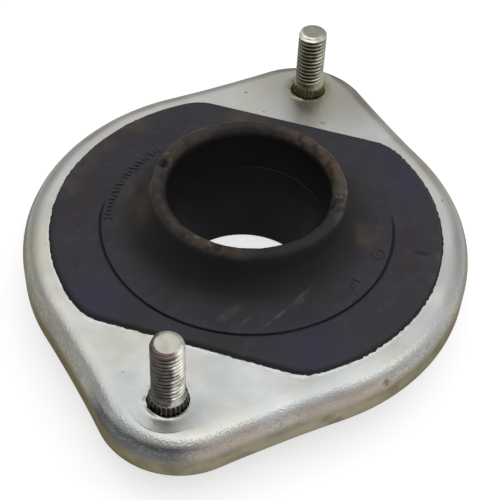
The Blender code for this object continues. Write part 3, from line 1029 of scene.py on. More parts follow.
@dataclass
class PressedShell:
    """The pressed cup: a flat face, a drawn bend and a short wall, with three holes."""

    layout: MountLayout
    plan: LensPlan
    sheet: float = 3.0 * MM
    bend_radius: float = 5.5 * MM
    edge_radius: float = 0.3 * MM
    opening_radius: float = 37.0 * MM
    hole_radius: float = 5.04 * MM
    face_spacing: float = 1.15 * MM
    row_share: float = 0.866
    welded_share: float = 0.55
    unevenness: float = 0.035 * MM
    burr_height: float = 0.42 * MM
    burr_radius: float = 5.42 * MM
    burr_width: float = 0.33 * MM
    bare_way: Point2 = (0.85, -0.53)
    halo_radius: float = 6.9 * MM
    halo_width: float = 1.2 * MM
    halo_depth: float = 0.05 * MM
    edge_dent: Spot = Spot(-36.2, -46.6, 20.0, 2.0)
    edge_dent_depth: float = 0.35 * MM
    face_dent: Spot = Spot(-56.0, 12.6, 0.0, 2.4)
    face_dent_depth: float = 0.14 * MM
    growth: tuple[float, ...] = (1.03, 1.06, 1.1, 1.14, 1.2, 1.28, 1.38, 1.5, 1.66, 1.85)
    bend_steps: int = 12
    wall_steps: int = 6
    hole_steps: int = 72
    opening_steps: int = 240

    @property
    def studs(self) -> Point2:
        """The x of both stud holes."""
        return (-self.layout.stud_x, self.layout.stud_x)

    def build(self, finish: Material) -> bpy.types.Object:
        """Makes the shell.

        Args:
            finish: its plating.

        Returns:
            The finished piece.
        """
        shape = bmesh.new()
        add_loft(shape, self._side_rings(), False)
        points, faces, holes = self._face()
        top = self.layout.top_z
        upper = [shape.verts.new((x, y, top + self._face_height(x, y))) for x, y in points]
        lower = [shape.verts.new((x, y, top - self.sheet)) for x, y in points]
        for face in faces:
            shape.faces.new([upper[i] for i in face])
            shape.faces.new([lower[i] for i in reversed(face)])
        for start, count in holes:
            for i in range(count):
                a, b = start + i, start + (i + 1) % count
                shape.faces.new((upper[a], upper[b], lower[b], lower[a]))
        return dressed("pressed_shell_plate", shape, finish, "pressed_shell")

    def _side_rings(self) -> list[list[Point3]]:
        """The rings from the flat face over the bend, down the wall and up its inside.

        Returns:
            The rings' points.
        """
        top, rim, sheet, edge = self.layout.top_z, self.layout.rim_z, self.sheet, self.edge_radius
        outer, inner = self.bend_radius, self.bend_radius - sheet
        quarter = [pi / 2 * i / self.bend_steps for i in range(self.bend_steps + 1)]
        section = [(outer * (1 - sin(a)), top - outer * (1 - cos(a))) for a in quarter]
        section += straight((0.0, top - outer), (0.0, rim + edge), self.wall_steps)[1:]
        section += [(edge * (1 - cos(a)), rim + edge * (1 - sin(a))) for a in quarter[3::3]]
        section += [(sheet - edge * (1 - sin(a)), rim + edge * (1 - cos(a))) for a in quarter[::3]]
        section += [(sheet + inner * (1 - cos(a)), top - sheet - inner * (1 - sin(a))) for a in quarter[::2]]
        rings = []
        for inset, z in section:
            ring = [(x, y, z) for x, y in self.plan.loop(inset)]
            if outer * 0.02 < top - z and inset < sheet:
                ring = [self._pushed(*point) for point in ring]
            rings.append(ring)
        return rings

    def _pushed(self, x: float, y: float, z: float) -> Point3:
        """A point of the bend or the wall, with the sheet's unevenness and its one dent."""
        share = min(1.0, (self.layout.top_z - z) / (0.5 * self.bend_radius))
        push = -self.unevenness * share * (1 + ripple(x, y, z, 14 * MM, 3.0))
        push -= self.edge_dent_depth * self.edge_dent.depth(x, y, z)
        scale = 1 + push / hypot(x, y)
        return (x * scale, y * scale, z)

    def _face_height(self, x: float, y: float) -> float:
        """The flat face's unevenness: waves, a dent, and burrs and dishes at the studs.

        Args:
            x: a point's x.
            y: its y.

        Returns:
            Its height over the plane.
        """
        height = self.unevenness * 0.5 * ripple(x, y, 0.0, 17 * MM, 1.0)
        height -= self.face_dent_depth * self.face_dent.depth(x, y, 0.0)
        for stud_x in self.studs:
            dx = x - stud_x
            away = hypot(dx, y)
            if away > 2.5 * self.halo_radius:
                continue
            facing = 0.5 - 0.5 * (self.bare_way[0] * dx + self.bare_way[1] * y) / max(away, WELD)
            patchy = max(0.1, 0.65 + 1.5 * ripple(x, y, 0.0, 1.6 * MM, 5.0))
            ring = bell(away - self.burr_radius, self.burr_width)
            height += self.burr_height * ring * (0.08 + 0.92 * facing**4) * patchy
            height -= self.halo_depth * bell(away - self.halo_radius, self.halo_width)
        return height * clamped((self._rim_gap(x, y) - 0.2 * MM) / (1.5 * MM))

    def _rim_gap(self, x: float, y: float) -> float:
        """About how far a point of the face lies inside the bend."""
        main = self.plan.main_radius - self.bend_radius - hypot(x, y)
        tip_x = self.plan.reach - self.plan.tip_radius
        tip = self.plan.tip_radius - self.bend_radius - hypot(abs(x) - tip_x, y)
        return max(main, tip, 0.3 * MM)

    def _face(self) -> tuple[list[Point2], list[list[int]], list[tuple[int, int]]]:
        """Fills the flat face between its outline and its three holes with small triangles.

        Returns:
            The points, the triangles, and for each hole its first point and how many it has.
        """
        outer = self.plan.loop(self.bend_radius)
        loops = [outer, circle(0.0, self.opening_radius, self.opening_steps)]
        loops += [circle(x, self.hole_radius, self.hole_steps) for x in self.studs]
        points, edges, starts = [], [], []
        for loop in loops:
            start = len(points)
            starts.append((start, len(loop)))
            points.extend(loop)
            edges.extend((start + i, start + (i + 1) % len(loop)) for i in range(len(loop)))
        rim_count = len(points)
        for x in self.studs:
            for grown in self.growth:
                points.extend(circle(x, self.hole_radius * grown, self.hole_steps))
        tree = KDTree(len(points))
        for index, (x, y) in enumerate(points):
            tree.insert((x, y, 0.0), index)
        tree.balance()
        points.extend(self._grid(tree))
        made = delaunay_2d_cdt([Vector(point) / MM for point in points], edges, [], 0, 1e-6)
        if len(made[0]) != len(points):
            log.warning("the shell's face came back with %d points, not %d", len(made[0]), len(points))
        back = [origin[0] for origin in made[3]]
        kept = []
        for face in made[2]:
            ids = [back[i] for i in face]
            x, y = (sum(points[i][axis] for i in ids) / 3 for axis in (0, 1))
            if hypot(x, y) < self.opening_radius * 0.9999:
                continue
            if any(hypot(x - stud, y) < self.hole_radius * 0.9985 for stud in self.studs):
                continue
            if max(ids) < rim_count and not self._inside(outer, x, y):
                continue
            kept.append(ids)
        return points, kept, starts[1:]

    def _grid(self, tree: KDTree) -> list[Point2]:
        """Points of the face in staggered rows, clear of its loops.

        Args:
            tree: the loops' points.

        Returns:
            The new points.
        """
        step = self.face_spacing
        rows = ceil(self.layout.main_radius / (step * self.row_share))
        cols = ceil(self.layout.shell_reach / step)
        outline = self.plan.loop(self.bend_radius + 0.3 * step)
        ring_limit = self.hole_radius * self.growth[-1] + 0.5 * step
        points = []
        for row in range(-rows, rows + 1):
            y = row * step * self.row_share
            shift = step / 2 if row % 2 else 0.0
            half = max((abs(px) for px, py in outline if abs(py - y) < step), default=0.0)
            for col in range(-cols, cols + 1):
                x = col * step + shift
                if abs(x) > half or hypot(x, y) < self.opening_radius + 0.5 * step:
                    continue
                if any(hypot(x - stud, y) < ring_limit for stud in self.studs):
                    continue
                if not self._inside(outline, x, y) or tree.find((x, y, 0.0))[2] < self.welded_share * step:
                    continue
                points.append((x, y))
        return points

    @staticmethod
    def _inside(loop: Sequence[Point2], x: float, y: float) -> bool:
        """Whether a point lies inside a closed outline."""
        odd = False
        for (ax, ay), (bx, by) in zip(loop, [*loop[1:], loop[0]]):
            if (ay > y) != (by > y) and x < ax + (bx - ax) * (y - ay) / (by - ay):
                odd = not odd
        return odd


class Plan(Enum):
    """Which outline a ring of the rubber follows."""

    ROUND = "round"
    PAD = "pad"
    PAD_FACE = "pad face"
    CUSHION = "cushion"


@dataclass(frozen=True)
class PadPlan:
    """The pad's plan: a round with two flats that face the studs."""

    radius: float
    flat: float
    corner: float = 12.8 * MM

    def reach(self, angle: float, inset: float) -> float:
        """How far the outline, moved inwards, reaches along an angle."""
        return flatted_reach(angle, self.radius - inset, self.flat - inset, self.corner - inset)


@dataclass(frozen=True)
class SectionPoint:
    """One point of the rubber's section.

    `size` is a radius, except on the pad's edge, where it is the inset from the outline, and on
    the pad's face, where it is the share of the way from the groove to the bevel.
    """

    plan: Plan
    size: float
    z: float


def section(plan: Plan, *points: Point2) -> list[SectionPoint]:
    """Section points that follow one outline, by their sizes and heights."""
    return [SectionPoint(plan, size, z) for size, z in points]


@dataclass
class RubberInsulator:
    """The rubber in one piece: lining, lip, flared collar, grooved pad, neck and cushion."""

    layout: MountLayout
    pad: PadPlan
    bore_radius: float = 20.6 * MM
    bore_foot_radius: float = 19.0 * MM
    mouth_edge: Point2 = (20.8 * MM, 36.7 * MM)
    lip_roll: float = 1.7 * MM
    lip_centre_radius: float = 23.55 * MM
    collar_radius: float = 25.4 * MM
    fillet_radius: float = 9.5 * MM
    groove_radius: float = 38.5 * MM
    groove_half: float = 0.35 * MM
    groove_depth: float = 0.55 * MM
    filled_way: Point2 = (0.963, 0.268)
    filled_start: float = 2.0 * MM
    filled_width: float = 9.0 * MM
    pad_height: float = 1.2 * MM
    step_rise: float = 0.15 * MM
    bevel_width: float = 1.25 * MM
    flash_height: float = 0.16 * MM
    flash_reach: float = 0.22 * MM
    flash_rag: float = 0.4 * MM
    neck_radius: float = 36.9 * MM
    bond: float = 0.03 * MM
    sheet: float = 3.0 * MM
    cushion_radius: float = 52.0 * MM
    cushion_flat: float = 50.0 * MM
    cushion_corner: float = 2.5 * MM
    cushion_band: float = 3.2 * MM
    cushion_waist: float = 3.0 * MM
    foot_radius: float = 33.4 * MM
    foot_rise: float = 1.9 * MM
    flange_top_z: float = 2.0 * MM
    lining_foot_z: float = 0.5 * MM
    sleeve_inner: float = 22.0 * MM
    sleeve_outer: float = 24.0 * MM
    sleeve_bend: float = 3.0 * MM
    columns: int = 600
    bore_steps: int = 44
    crest_steps: int = 14
    flare_steps: int = 22
    face_steps: int = 11
    waist_steps: int = 18
    parting_z: float = 26.2 * MM
    pit: Spot = Spot(0.5, 23.5, 38.4, 2.1)
    dent: Spot = Spot(-3.6, 22.3, 38.6, 4.4)
    nicks: tuple[Spot, ...] = (
        Spot(15.4, 10.3, 39, 1.0),
        Spot(-19.2, 12.9, 38.6, 1.2),
        Spot(-23.1, 9.7, 38.4, 1.1),
        Spot(-23.6, 0.4, 38.6, 1.6),
        Spot(-1.4, -23.9, 38.8, 1.0),
        Spot(18.8, -14.2, 38.9, 1.3),
        Spot(22.3, -7.1, 38.9, 1.1),
    )

    def build(self, finish: Material, marks: Mesh) -> bpy.types.Object:
        """Makes the insulator.

        Args:
            finish: the rubber's material.
            marks: raised mould marks that stand on the pad.

        Returns:
            The finished piece.
        """
        shape = bmesh.new()
        angles = [tau * i / self.columns for i in range(self.columns)]
        rings = []
        for point in self._over_rings() + self._under_rings():
            reaches = [self._reach(point, angle) for angle in angles]
            spots = [(r * cos(a), r * sin(a)) for r, a in zip(reaches, angles)]
            rings.append([self._worked(x, y, point.z, point.plan) for x, y in spots])
        add_loft(shape, rings, True)
        shape.from_mesh(marks)
        return dressed("insulator_moulding", shape, finish, "rubber_insulator")

    def _reach(self, point: SectionPoint, angle: float) -> float:
        """How far from the bore's axis a ring reaches.

        Args:
            point: the section point that the ring passes through.
            angle: the direction in the plan.

        Returns:
            The distance.
        """
        if point.plan is Plan.ROUND:
            return point.size
        if point.plan is Plan.CUSHION:
            return flatted_reach(angle, point.size, self.cushion_flat, self.cushion_corner)
        if point.plan is Plan.PAD:
            reach = self.pad.reach(angle, max(point.size, 0.0))
            if point.size < 0.0:
                x, y = reach * cos(angle), reach * sin(angle)
                rag = ripple(x, y, 0.0, 1.1 * MM, 7.0) + 0.9 * ripple(x, y, 0.0, 0.45 * MM, 9.0)
                lobes = 0.55 + 0.8 * ripple(x, y, 0.0, 9.0 * MM, 13.0)
                reach += self.flash_reach * lobes + self.flash_rag * rag * max(0.15, lobes)
            return reach
        start = self.groove_radius + 1.6 * self.groove_half
        return start + (self.pad.reach(angle, self.bevel_width) - start) * point.size

    def _over_rings(self) -> list[SectionPoint]:
        """The rings from the bore's foot up, over the lip and the pad, and down the neck.

        Returns:
            Their section points.
        """
        top, fillet = self.layout.top_z, self.fillet_radius
        pad_z = top + self.pad_height
        step_z, floor_z = pad_z + self.step_rise, pad_z - self.groove_depth
        flash_z, under_z = top + self.flash_height, top - self.bond
        foot, mouth = (self.bore_foot_radius, self.lining_foot_z), self.mouth_edge
        bore = straight(foot, (self.bore_radius, mouth[1] - 0.6 * MM), self.bore_steps)
        lip = (self.lip_centre_radius, self.layout.crest_z - self.lip_roll)
        crest = arc(lip, self.lip_roll, radians(145.0), 0.0, self.crest_steps)
        slope = straight(mouth, crest[0], 5)
        centre = (self.collar_radius + fillet, step_z + fillet)
        flare = arc(centre, fillet, pi, 1.5 * pi, self.flare_steps)
        side = straight(crest[-1], flare[0], 4)
        inner, outer = self.groove_radius - self.groove_half, self.groove_radius + self.groove_half
        groove = [
            (inner - 1.6 * MM, step_z),
            (inner - 0.3 * MM, step_z),
            (inner - 0.06 * MM, step_z - 0.04 * MM),
            (inner + 0.04 * MM, step_z - 0.2 * MM),
            (inner + 0.16 * MM, floor_z),
            (outer - 0.16 * MM, floor_z),
            (outer - 0.04 * MM, pad_z - 0.16 * MM),
            (outer + 0.06 * MM, pad_z - 0.03 * MM),
        ]
        bevel = [
            (self.bevel_width * across, flash_z + (pad_z - flash_z) * up)
            for across, up in ((0.8, 0.93), (0.5, 0.62), (0.2, 0.16), (0.08, 0.02))
        ]
        flash = [(-1.0, top + 0.4 * self.flash_height), (-1.0, under_z), (self.bevel_width, under_z)]
        neck = [(self.neck_radius, under_z), (self.neck_radius, top - self.sheet + self.bond)]
        return (
            section(Plan.ROUND, *bore, *slope[:-1], *crest[:-1], *side[:-1], *flare, *groove)
            + section(Plan.PAD_FACE, *straight((0.0, pad_z), (1.0, pad_z), self.face_steps))
            + section(Plan.PAD, *bevel, *flash)
            + section(Plan.ROUND, *neck)
        )

    def _under_rings(self) -> list[SectionPoint]:
        """The rings of the cushion below the shell, and of the room for the sleeve.

        Returns:
            Their section points.
        """
        under = self.layout.top_z - self.sheet - 0.01 * MM
        band_z, wide = under - self.cushion_band, self.cushion_radius
        foot, foot_z = self.foot_radius, self.flange_top_z + self.foot_rise
        start, end = Vector((wide, band_z)), Vector((foot, foot_z))
        along = end - start
        inward = Vector((along.y, -along.x)).normalized()
        if inward.x > 0:
            inward = -inward
        waist = []
        for i in range(self.waist_steps + 1):
            t = i / self.waist_steps
            waist.append(start + along * t + inward * self.cushion_waist * (1 - (2 * t - 1) ** 2))
        bend, rise = self.sleeve_bend, self.flange_top_z + self.bond
        outside, inside = self.sleeve_outer + self.bond, self.sleeve_inner - self.bond
        crown, lining_z = self.layout.sleeve_top_z + self.bond, self.lining_foot_z
        band = [
            (wide - 0.5 * MM, under),
            (wide - 0.1 * MM, under - 0.15 * MM),
            (wide, under - 0.5 * MM),
            (wide, (under + band_z) / 2),
        ]
        foot_edge = [(foot, foot_z - 0.9 * MM), (foot - 0.1 * MM, rise + 0.1 * MM), (foot - 0.3 * MM, rise)]
        corner = arc((outside + bend, rise + bend), bend, 1.5 * pi, pi, 8)
        lining = [
            (outside, crown),
            (inside, crown),
            (inside, lining_z + 0.2 * MM),
            (inside - 0.2 * MM, lining_z),
            (self.bore_foot_radius + 0.3 * MM, lining_z),
        ]
        return section(Plan.CUSHION, *band, *waist) + section(Plan.ROUND, *foot_edge, *corner, *lining)

    def _worked(self, x: float, y: float, z: float, plan: Plan) -> Point3:
        """A point of the moulding with its waves, vent pit, lip nicks and parting line.

        Args:
            x: the point's x.
            y: its y.
            z: its z.
            plan: the outline that its ring follows.

        Returns:
            The moved point.
        """
        away, top, crest_z = hypot(x, y), self.layout.top_z, self.layout.crest_z
        face = top + self.pad_height
        if plan is Plan.PAD_FACE or (plan is Plan.ROUND and z > face and away > 34 * MM):
            return (x, y, z + 0.035 * MM * ripple(x, y, 0.0, 7 * MM, 21.0))
        if plan is Plan.ROUND and abs(away - self.groove_radius) < 0.9 * self.groove_half and z > top:
            along = self.filled_way[0] * x + self.filled_way[1] * y
            filled = clamped((along + self.filled_start) / self.filled_width)
            z = face + (z - face) * (1 - 0.95 * filled) * (1 + 0.3 * ripple(x, y, 0.0, 9 * MM, 23.0))
            return (x, y, min(z, face))
        if plan is not Plan.ROUND or z < self.parting_z - 1.5 * MM:
            return (x, y, z)
        push = 0.06 * MM * ripple(x, y, z, 6 * MM, 25.0)
        if away < self.bore_radius + 0.01 * MM:
            seam = self.parting_z + 0.5 * MM * ripple(x, y, 0.0, 12 * MM, 31.0)
            push = 0.04 * MM * ripple(x, y, z, 9 * MM, 27.0) - 0.12 * MM * bell(z - seam, 0.3 * MM)
        crest = bell(z - crest_z, 1.8 * MM)
        push += 0.16 * MM * crest * ripple(x, y, z, 2.2 * MM, 29.0)
        push += 0.1 * MM * crest * ripple(x, y, z, 0.9 * MM, 37.0)
        scale = 1 + push / away
        pit = 1.7 * self.pit.depth(x, y, z) + 0.7 * self.dent.depth(x, y, z)
        pit += 0.2 * sum(nick.depth(x, y, z) for nick in self.nicks)
        middle = self.lip_centre_radius / away
        heart = Vector((x * middle, y * middle, crest_z - 2.6 * MM))
        spot = Vector((x * scale, y * scale, z + 0.1 * MM * crest * ripple(x, y, 0.0, 5 * MM, 33.0)))
        spot += (heart - spot).normalized() * (1.5 * MM * pit)
        return tuple(spot)


class GrowingTree(Graph):
    """A Geometry Nodes tree with named inputs, run once to leave a plain mesh."""

    def __init__(self, name: str, inputs: dict[str, float | int]) -> None:
        """Starts the tree.

        Args:
            name: the tree's name.
            inputs: its named inputs and their values, where a whole number makes a whole input.
        """
        super().__init__(bpy.data.node_groups.new(name, "GeometryNodeTree"))
        self.inputs = inputs
        face = self.tree.interface
        face.new_socket("Geometry", in_out="INPUT", socket_type="NodeSocketGeometry")
        for key, value in inputs.items():
            kind = "NodeSocketInt" if isinstance(value, int) else "NodeSocketFloat"
            face.new_socket(key, in_out="INPUT", socket_type=kind)
        face.new_socket("Geometry", in_out="OUTPUT", socket_type="NodeSocketGeometry")
        self.given = add_node(self.tree, "NodeGroupInput").outputs

    def joined(self, *parts: Socket) -> Socket:
        """Several geometries as one."""
        both = add_node(self.tree, "GeometryNodeJoinGeometry")
        for part in parts:
            self.tree.links.new(part, both.inputs[0])
        return both.outputs[0]

    def turned(self, angle: Source, reach: Source, height: Source) -> Socket:
        """A place by its angle round the Z axis, its distance from it and its height."""
        across, along = self.math("COSINE", angle), self.math("SINE", angle)
        return self.xyz(self.product(reach, across), self.product(reach, along), height)

    def grown(self, geometry: Socket, finish: Material, seed: Mesh) -> Mesh:
        """Ends the tree, runs it and keeps what it makes.

        Args:
            geometry: what the tree makes.
            finish: the material that it gets.
            seed: the mesh that the tree is given.

        Returns:
            The plain mesh.
        """
        name = self.tree.name
        real = self.out("GeometryNodeRealizeInstances", {0: geometry})
        done = self.out("GeometryNodeSetMaterial", {"Geometry": real, "Material": finish})
        add_node(self.tree, "NodeGroupOutput", {0: done})
        carrier = bpy.data.objects.new(name + "_carrier", seed)
        bpy.context.scene.collection.objects.link(carrier)
        grower = carrier.modifiers.new(name, "NODES")
        grower.node_group = self.tree
        for item in self.tree.interface.items_tree:
            if item.in_out == "INPUT" and item.name in self.inputs:
                grower[item.identifier] = self.inputs[item.name]
        bpy.context.view_layer.update()
        graph = bpy.context.evaluated_depsgraph_get()
        mesh = bpy.data.meshes.new_from_object(carrier.evaluated_get(graph))
        carrier.modifiers.remove(grower)
        bpy.data.objects.remove(carrier)
        log.info("%s: grown with %d faces", name, len(mesh.polygons))
        return mesh


@dataclass
class MouldMarks:
    """An arc of plain raised bars on the pad and one plain raised ring with a dot, without meaning."""

    layout: MountLayout
    arc_radius: float = 36.6 * MM
    start_angle: float = radians(60.0)
    end_angle: float = radians(108.0)
    count: int = 22
    pair_radius: float = 34.0 * MM
    pair_start: float = radians(-112.5)
    pair_end: float = radians(-108.5)
    pair_count: int = 3
    bar_length: float = 2.5 * MM
    bar_width: float = 0.55 * MM
    rise: float = 0.3 * MM
    face_z_over_shell: float = 1.35 * MM
    ring_radius: float = 1.65 * MM
    ring_wire: float = 0.24 * MM
    dot_radius: float = 0.5 * MM
    ring_place: Point2 = (-0.2 * MM, -35.5 * MM)
    seed: int = 4

    def build(self, finish: Material) -> Mesh:
        """Grows the marks as one mesh.

        Args:
            finish: the rubber's material.

        Returns:
            The plain mesh.
        """
        tree = GrowingTree("mould_marks", {
            "Arc radius": self.arc_radius,
            "Arc start": self.start_angle,
            "Arc end": self.end_angle,
            "Pair radius": self.pair_radius,
            "Pair start": self.pair_start,
            "Pair end": self.pair_end,
            "Bar length": self.bar_length,
            "Bar width": self.bar_width,
            "Bar height": 2 * self.rise,
            "Face height": self.layout.top_z + self.face_z_over_shell,
            "Ring radius": self.ring_radius,
            "Ring wire": self.ring_wire,
            "Dot radius": self.dot_radius,
            "Ring X": self.ring_place[0],
            "Ring Y": self.ring_place[1],
            "Arc count": self.count,
            "Pair count": self.pair_count,
            "Seed": self.seed,
        })
        marks = tree.joined(self._ring(tree), self._row(tree, "Arc"), self._row(tree, "Pair"))
        return tree.grown(marks, finish, bpy.data.meshes.new("mould_marks_seed"))

    @staticmethod
    def _row(tree: GrowingTree, kind: str) -> Socket:
        """A row of uneven bars along an arc round the bore, each turned outwards.

        Args:
            tree: the tree.
            kind: the word that the row's inputs start with.

        Returns:
            The bars' geometry.
        """
        given = tree.given
        count, start, end, reach = (given[f"{kind} {word}"] for word in ("count", "start", "end", "radius"))
        line = tree.out("GeometryNodeMeshLine", {"Count": count})
        index = tree.out("GeometryNodeInputIndex")
        angle = tree.ramp(index, high=tree.math("SUBTRACT", count, 1.0), start=start, end=end)
        spot = tree.turned(angle, reach, given["Face height"])
        size = tree.xyz(given["Bar length"], given["Bar width"], given["Bar height"])

        def random(low: Point3, high: Point3) -> Socket:
            """A random vector for each bar."""
            links = {"Min": low, "Max": high, "Seed": given["Seed"]}
            return tree.out("FunctionNodeRandomValue", links, data_type="FLOAT_VECTOR")

        lean = random((0.0, 0.0, -0.5), (0.0, 0.0, 0.5))
        return tree.out("GeometryNodeInstanceOnPoints", {
            "Points": tree.out("GeometryNodeSetPosition", {"Geometry": line, "Position": spot}),
            "Instance": tree.out("GeometryNodeMeshCube", {"Size": size}),
            "Rotation": tree.vector("ADD", tree.xyz(z=angle), lean),
            "Scale": random((0.45, 0.7, 0.7), (1.0, 1.2, 1.1)),
        })

    @staticmethod
    def _ring(tree: GrowingTree) -> Socket:
        """A wire ring with a dot in its middle, half sunk in the pad.

        Args:
            tree: the tree.

        Returns:
            Their geometry.
        """
        given = tree.given
        path, wire = (
            tree.out("GeometryNodeCurvePrimitiveCircle", {"Resolution": steps, "Radius": given[size]})
            for steps, size in ((40, "Ring radius"), (8, "Ring wire"))
        )
        ring = tree.out("GeometryNodeCurveToMesh", {"Curve": path, "Profile Curve": wire})
        ball = {"Segments": 12, "Rings": 6, "Radius": given["Dot radius"]}
        dot = tree.out("GeometryNodeMeshUVSphere", ball)
        low_dot = tree.out("GeometryNodeTransform", {"Geometry": dot, "Scale": (1.0, 1.0, 0.45)})
        place = tree.xyz(given["Ring X"], given["Ring Y"], given["Face height"])
        links = {"Geometry": tree.joined(ring, low_dot), "Translation": place}
        return tree.out("GeometryNodeTransform", links)


@dataclass
class InnerSleeve:
    """The drawn tube with an outward flange at its foot."""

    layout: MountLayout
    inner: float = 22.0 * MM
    outer: float = 24.0 * MM
    sheet: float = 2.0 * MM
    bend_inner: float = 3.0 * MM
    edge: float = 0.3 * MM
    land: float = 3.0 * MM
    columns: int = 256

    def build(self, finish: Material) -> bpy.types.Object:
        """Makes the sleeve.

        Args:
            finish: its steel.

        Returns:
            The finished piece.
        """
        bend_outer = self.bend_inner + self.sheet
        centre = (self.outer + self.bend_inner, bend_outer)
        top, rim, edge = self.layout.sleeve_top_z, self.layout.flange_radius, self.edge
        profile = (
            arc(centre, bend_outer, 1.5 * pi, pi, 12)
            + arc((self.inner + edge, top - edge), edge, pi, pi / 2, 4)
            + arc((self.outer - edge, top - edge), edge, pi / 2, 0.0, 4)
            + arc(centre, self.bend_inner, pi, 1.5 * pi, 8)
            + [(rim - self.land, self.sheet)]
            + arc((rim - edge, self.sheet - edge), edge, pi / 2, 0.0, 4)
            + arc((rim - edge, edge), edge, 0.0, -pi / 2, 4)
            + [(rim - self.land, 0.0)]
        )
        shape = bmesh.new()
        angles = [tau * i / self.columns for i in range(self.columns)]
        add_loft(shape, [[(r * cos(a), r * sin(a), z) for a in angles] for r, z in profile], True)
        return dressed("flanged_sleeve", shape, finish, "inner_sleeve")


@dataclass
class PressInStud:
    """A knurled M8 press-in stud, grown by Geometry Nodes from its half section."""

    layout: MountLayout
    thread_radius: float = 4.0 * MM
    thread_depth: float = 0.72 * MM
    pitch: float = 1.25 * MM
    point_radius: float = 3.08 * MM
    point_length: float = 0.95 * MM
    point_rise: float = 0.14 * MM
    shank_radius: float = 3.85 * MM
    run_out: float = 1.6 * MM
    knurl_radius: float = 5.0 * MM
    knurl_rise: float = 2.6 * MM
    knurl_depth: float = 0.5 * MM
    knurl_taper: float = 0.3 * MM
    teeth: int = 26
    cone_rise: float = 3.45 * MM
    head_radius: float = 7.0 * MM
    head_thickness: float = 2.8 * MM
    head_edge: float = 0.45 * MM
    wear: float = 0.05 * MM
    columns: int = 96
    rows_per_turn: int = 12

    def build(self, side: str, way: float, finish: Material) -> bpy.types.Object:
        """Makes one stud in its place.

        Args:
            side: the CAD node's last word.
            way: -1 for the stud at negative X and 1 for the other.
            finish: the stud's material.

        Returns:
            The finished piece.
        """
        tree = GrowingTree("press_in_stud_" + side, {
            "Thread foot": self.layout.top_z + self.cone_rise,
            "Thread top": self.layout.stud_top_z - self.point_rise,
            "Pitch": self.pitch,
            "Thread radius": self.thread_radius,
            "Point radius": self.point_radius,
            "Point length": self.point_length,
            "Shank radius": self.shank_radius,
            "Run-out": self.run_out,
            "Knurl depth": self.knurl_depth,
            "Wear": self.wear,
            "Columns": self.columns,
            "Teeth": self.teeth,
            "Seed": 11 if way < 0 else 17,
        })
        mesh = tree.grown(self._turned_body(tree), finish, self._profile_mesh())
        mesh.transform(Matrix.Translation((way * self.layout.stud_x, 0.0, 0.0)))
        shape = bmesh.new()
        shape.from_mesh(mesh)
        node = "stud_" + side
        return dressed(node + "_threaded", shape, finish, node, radians(50.0))

    def _profile_mesh(self) -> Mesh:
        """The half section as a line of points.

        Returns:
            A mesh whose attribute `knurl` holds the teeth's share and `lead` is one on the thread.
        """
        top, foot, end = self.layout.top_z, self.layout.stud_foot_z, self.layout.stud_top_z
        head_top, edge, rim = foot + self.head_thickness, self.head_edge, self.head_radius
        knurl, knurl_top = self.knurl_radius, top + self.knurl_rise
        worn, point = knurl - self.knurl_taper, self.point_radius
        head = [(0.0, foot), (rim * 0.5, foot)]
        head += arc((rim - edge, foot + edge), edge, 1.5 * pi, 2 * pi, 4)
        head += arc((rim - edge, head_top - edge), edge, 0.0, pi / 2, 4)
        rows = [(r, z, 0.0, 0.0) for r, z in [*head, (knurl * 1.02, head_top)]]
        rows.append((knurl, head_top + 0.1 * MM, 1.0, 0.0))
        teeth = straight((knurl, top), (worn, knurl_top - 0.45 * MM), 5)
        rows += [(r, z, 1.0 - 0.2 * i / 5, 0.0) for i, (r, z) in enumerate(teeth)]
        rows += [
            (worn - 0.06 * MM, knurl_top - 0.2 * MM, 0.7, 0.0),
            (worn - 0.22 * MM, knurl_top + 0.02 * MM, 0.4, 0.0),
            (worn - 0.42 * MM, knurl_top + 0.22 * MM, 0.1, 0.0),
            (self.shank_radius + 0.12 * MM, top + self.cone_rise - 0.22 * MM, 0.0, 0.0),
        ]
        start = top + self.cone_rise - 0.6 * self.pitch
        step, turn = self.pitch / self.rows_per_turn, self.rows_per_turn
        count = ceil((end - self.point_rise + 0.6 * self.pitch - start) / step) + 1
        rows += [(self._thread_reach(i % turn / turn), start + i * step, 0.0, 1.0) for i in range(count)]
        rows += [
            (point - 0.03 * MM, end - 0.08 * MM, 0.0, 0.0),
            (point - 0.14 * MM, end - 0.02 * MM, 0.0, 0.0),
            (point - 0.4 * MM, end, 0.0, 0.0),
            (point * 0.5, end - 0.02 * MM, 0.0, 0.0),
            (0.0, end - 0.03 * MM, 0.0, 0.0),
        ]
        mesh = bpy.data.meshes.new("stud_section")
        mesh.from_pydata([(r, 0.0, z) for r, z, _, _ in rows], [(i, i + 1) for i in range(len(rows) - 1)], [])
        for name, column in (("knurl", 2), ("lead", 3)):
            layer = mesh.attributes.new(name, "FLOAT", "POINT")
            layer.data.foreach_set("value", [row[column] for row in rows])
        return mesh

    def _thread_reach(self, phase: float) -> float:
        """The thread's radius at a share of its pitch: a rounded crest, flanks and a rounded root."""
        shaped = clamped((0.42 + 0.5 * cos(tau * phase)) / 0.8)
        return self.thread_radius - self.thread_depth * (1 - shaped)

    def _turned_body(self, tree: GrowingTree) -> Socket:
        """Turns the half section, winds the thread and cuts the knurl.

        Args:
            tree: the tree, which is given the half section.

        Returns:
            The stud's geometry.
        """
        profile = tree.given["Geometry"]
        rows = tree.out("GeometryNodeAttributeDomainSize", {"Geometry": profile}, "Point Count")
        tall = tree.math("SUBTRACT", rows, 1.0)
        seam = tree.math("ADD", tree.given["Columns"], 1.0)
        sheet = {"Size X": tau, "Size Y": tall, "Vertices X": seam, "Vertices Y": rows}
        spot = tree.out("GeometryNodeInputPosition")
        angle, level, _ = tree.axes(spot)
        row = tree.math("ROUND", tree.math("MULTIPLY_ADD", tall, 0.5, level))

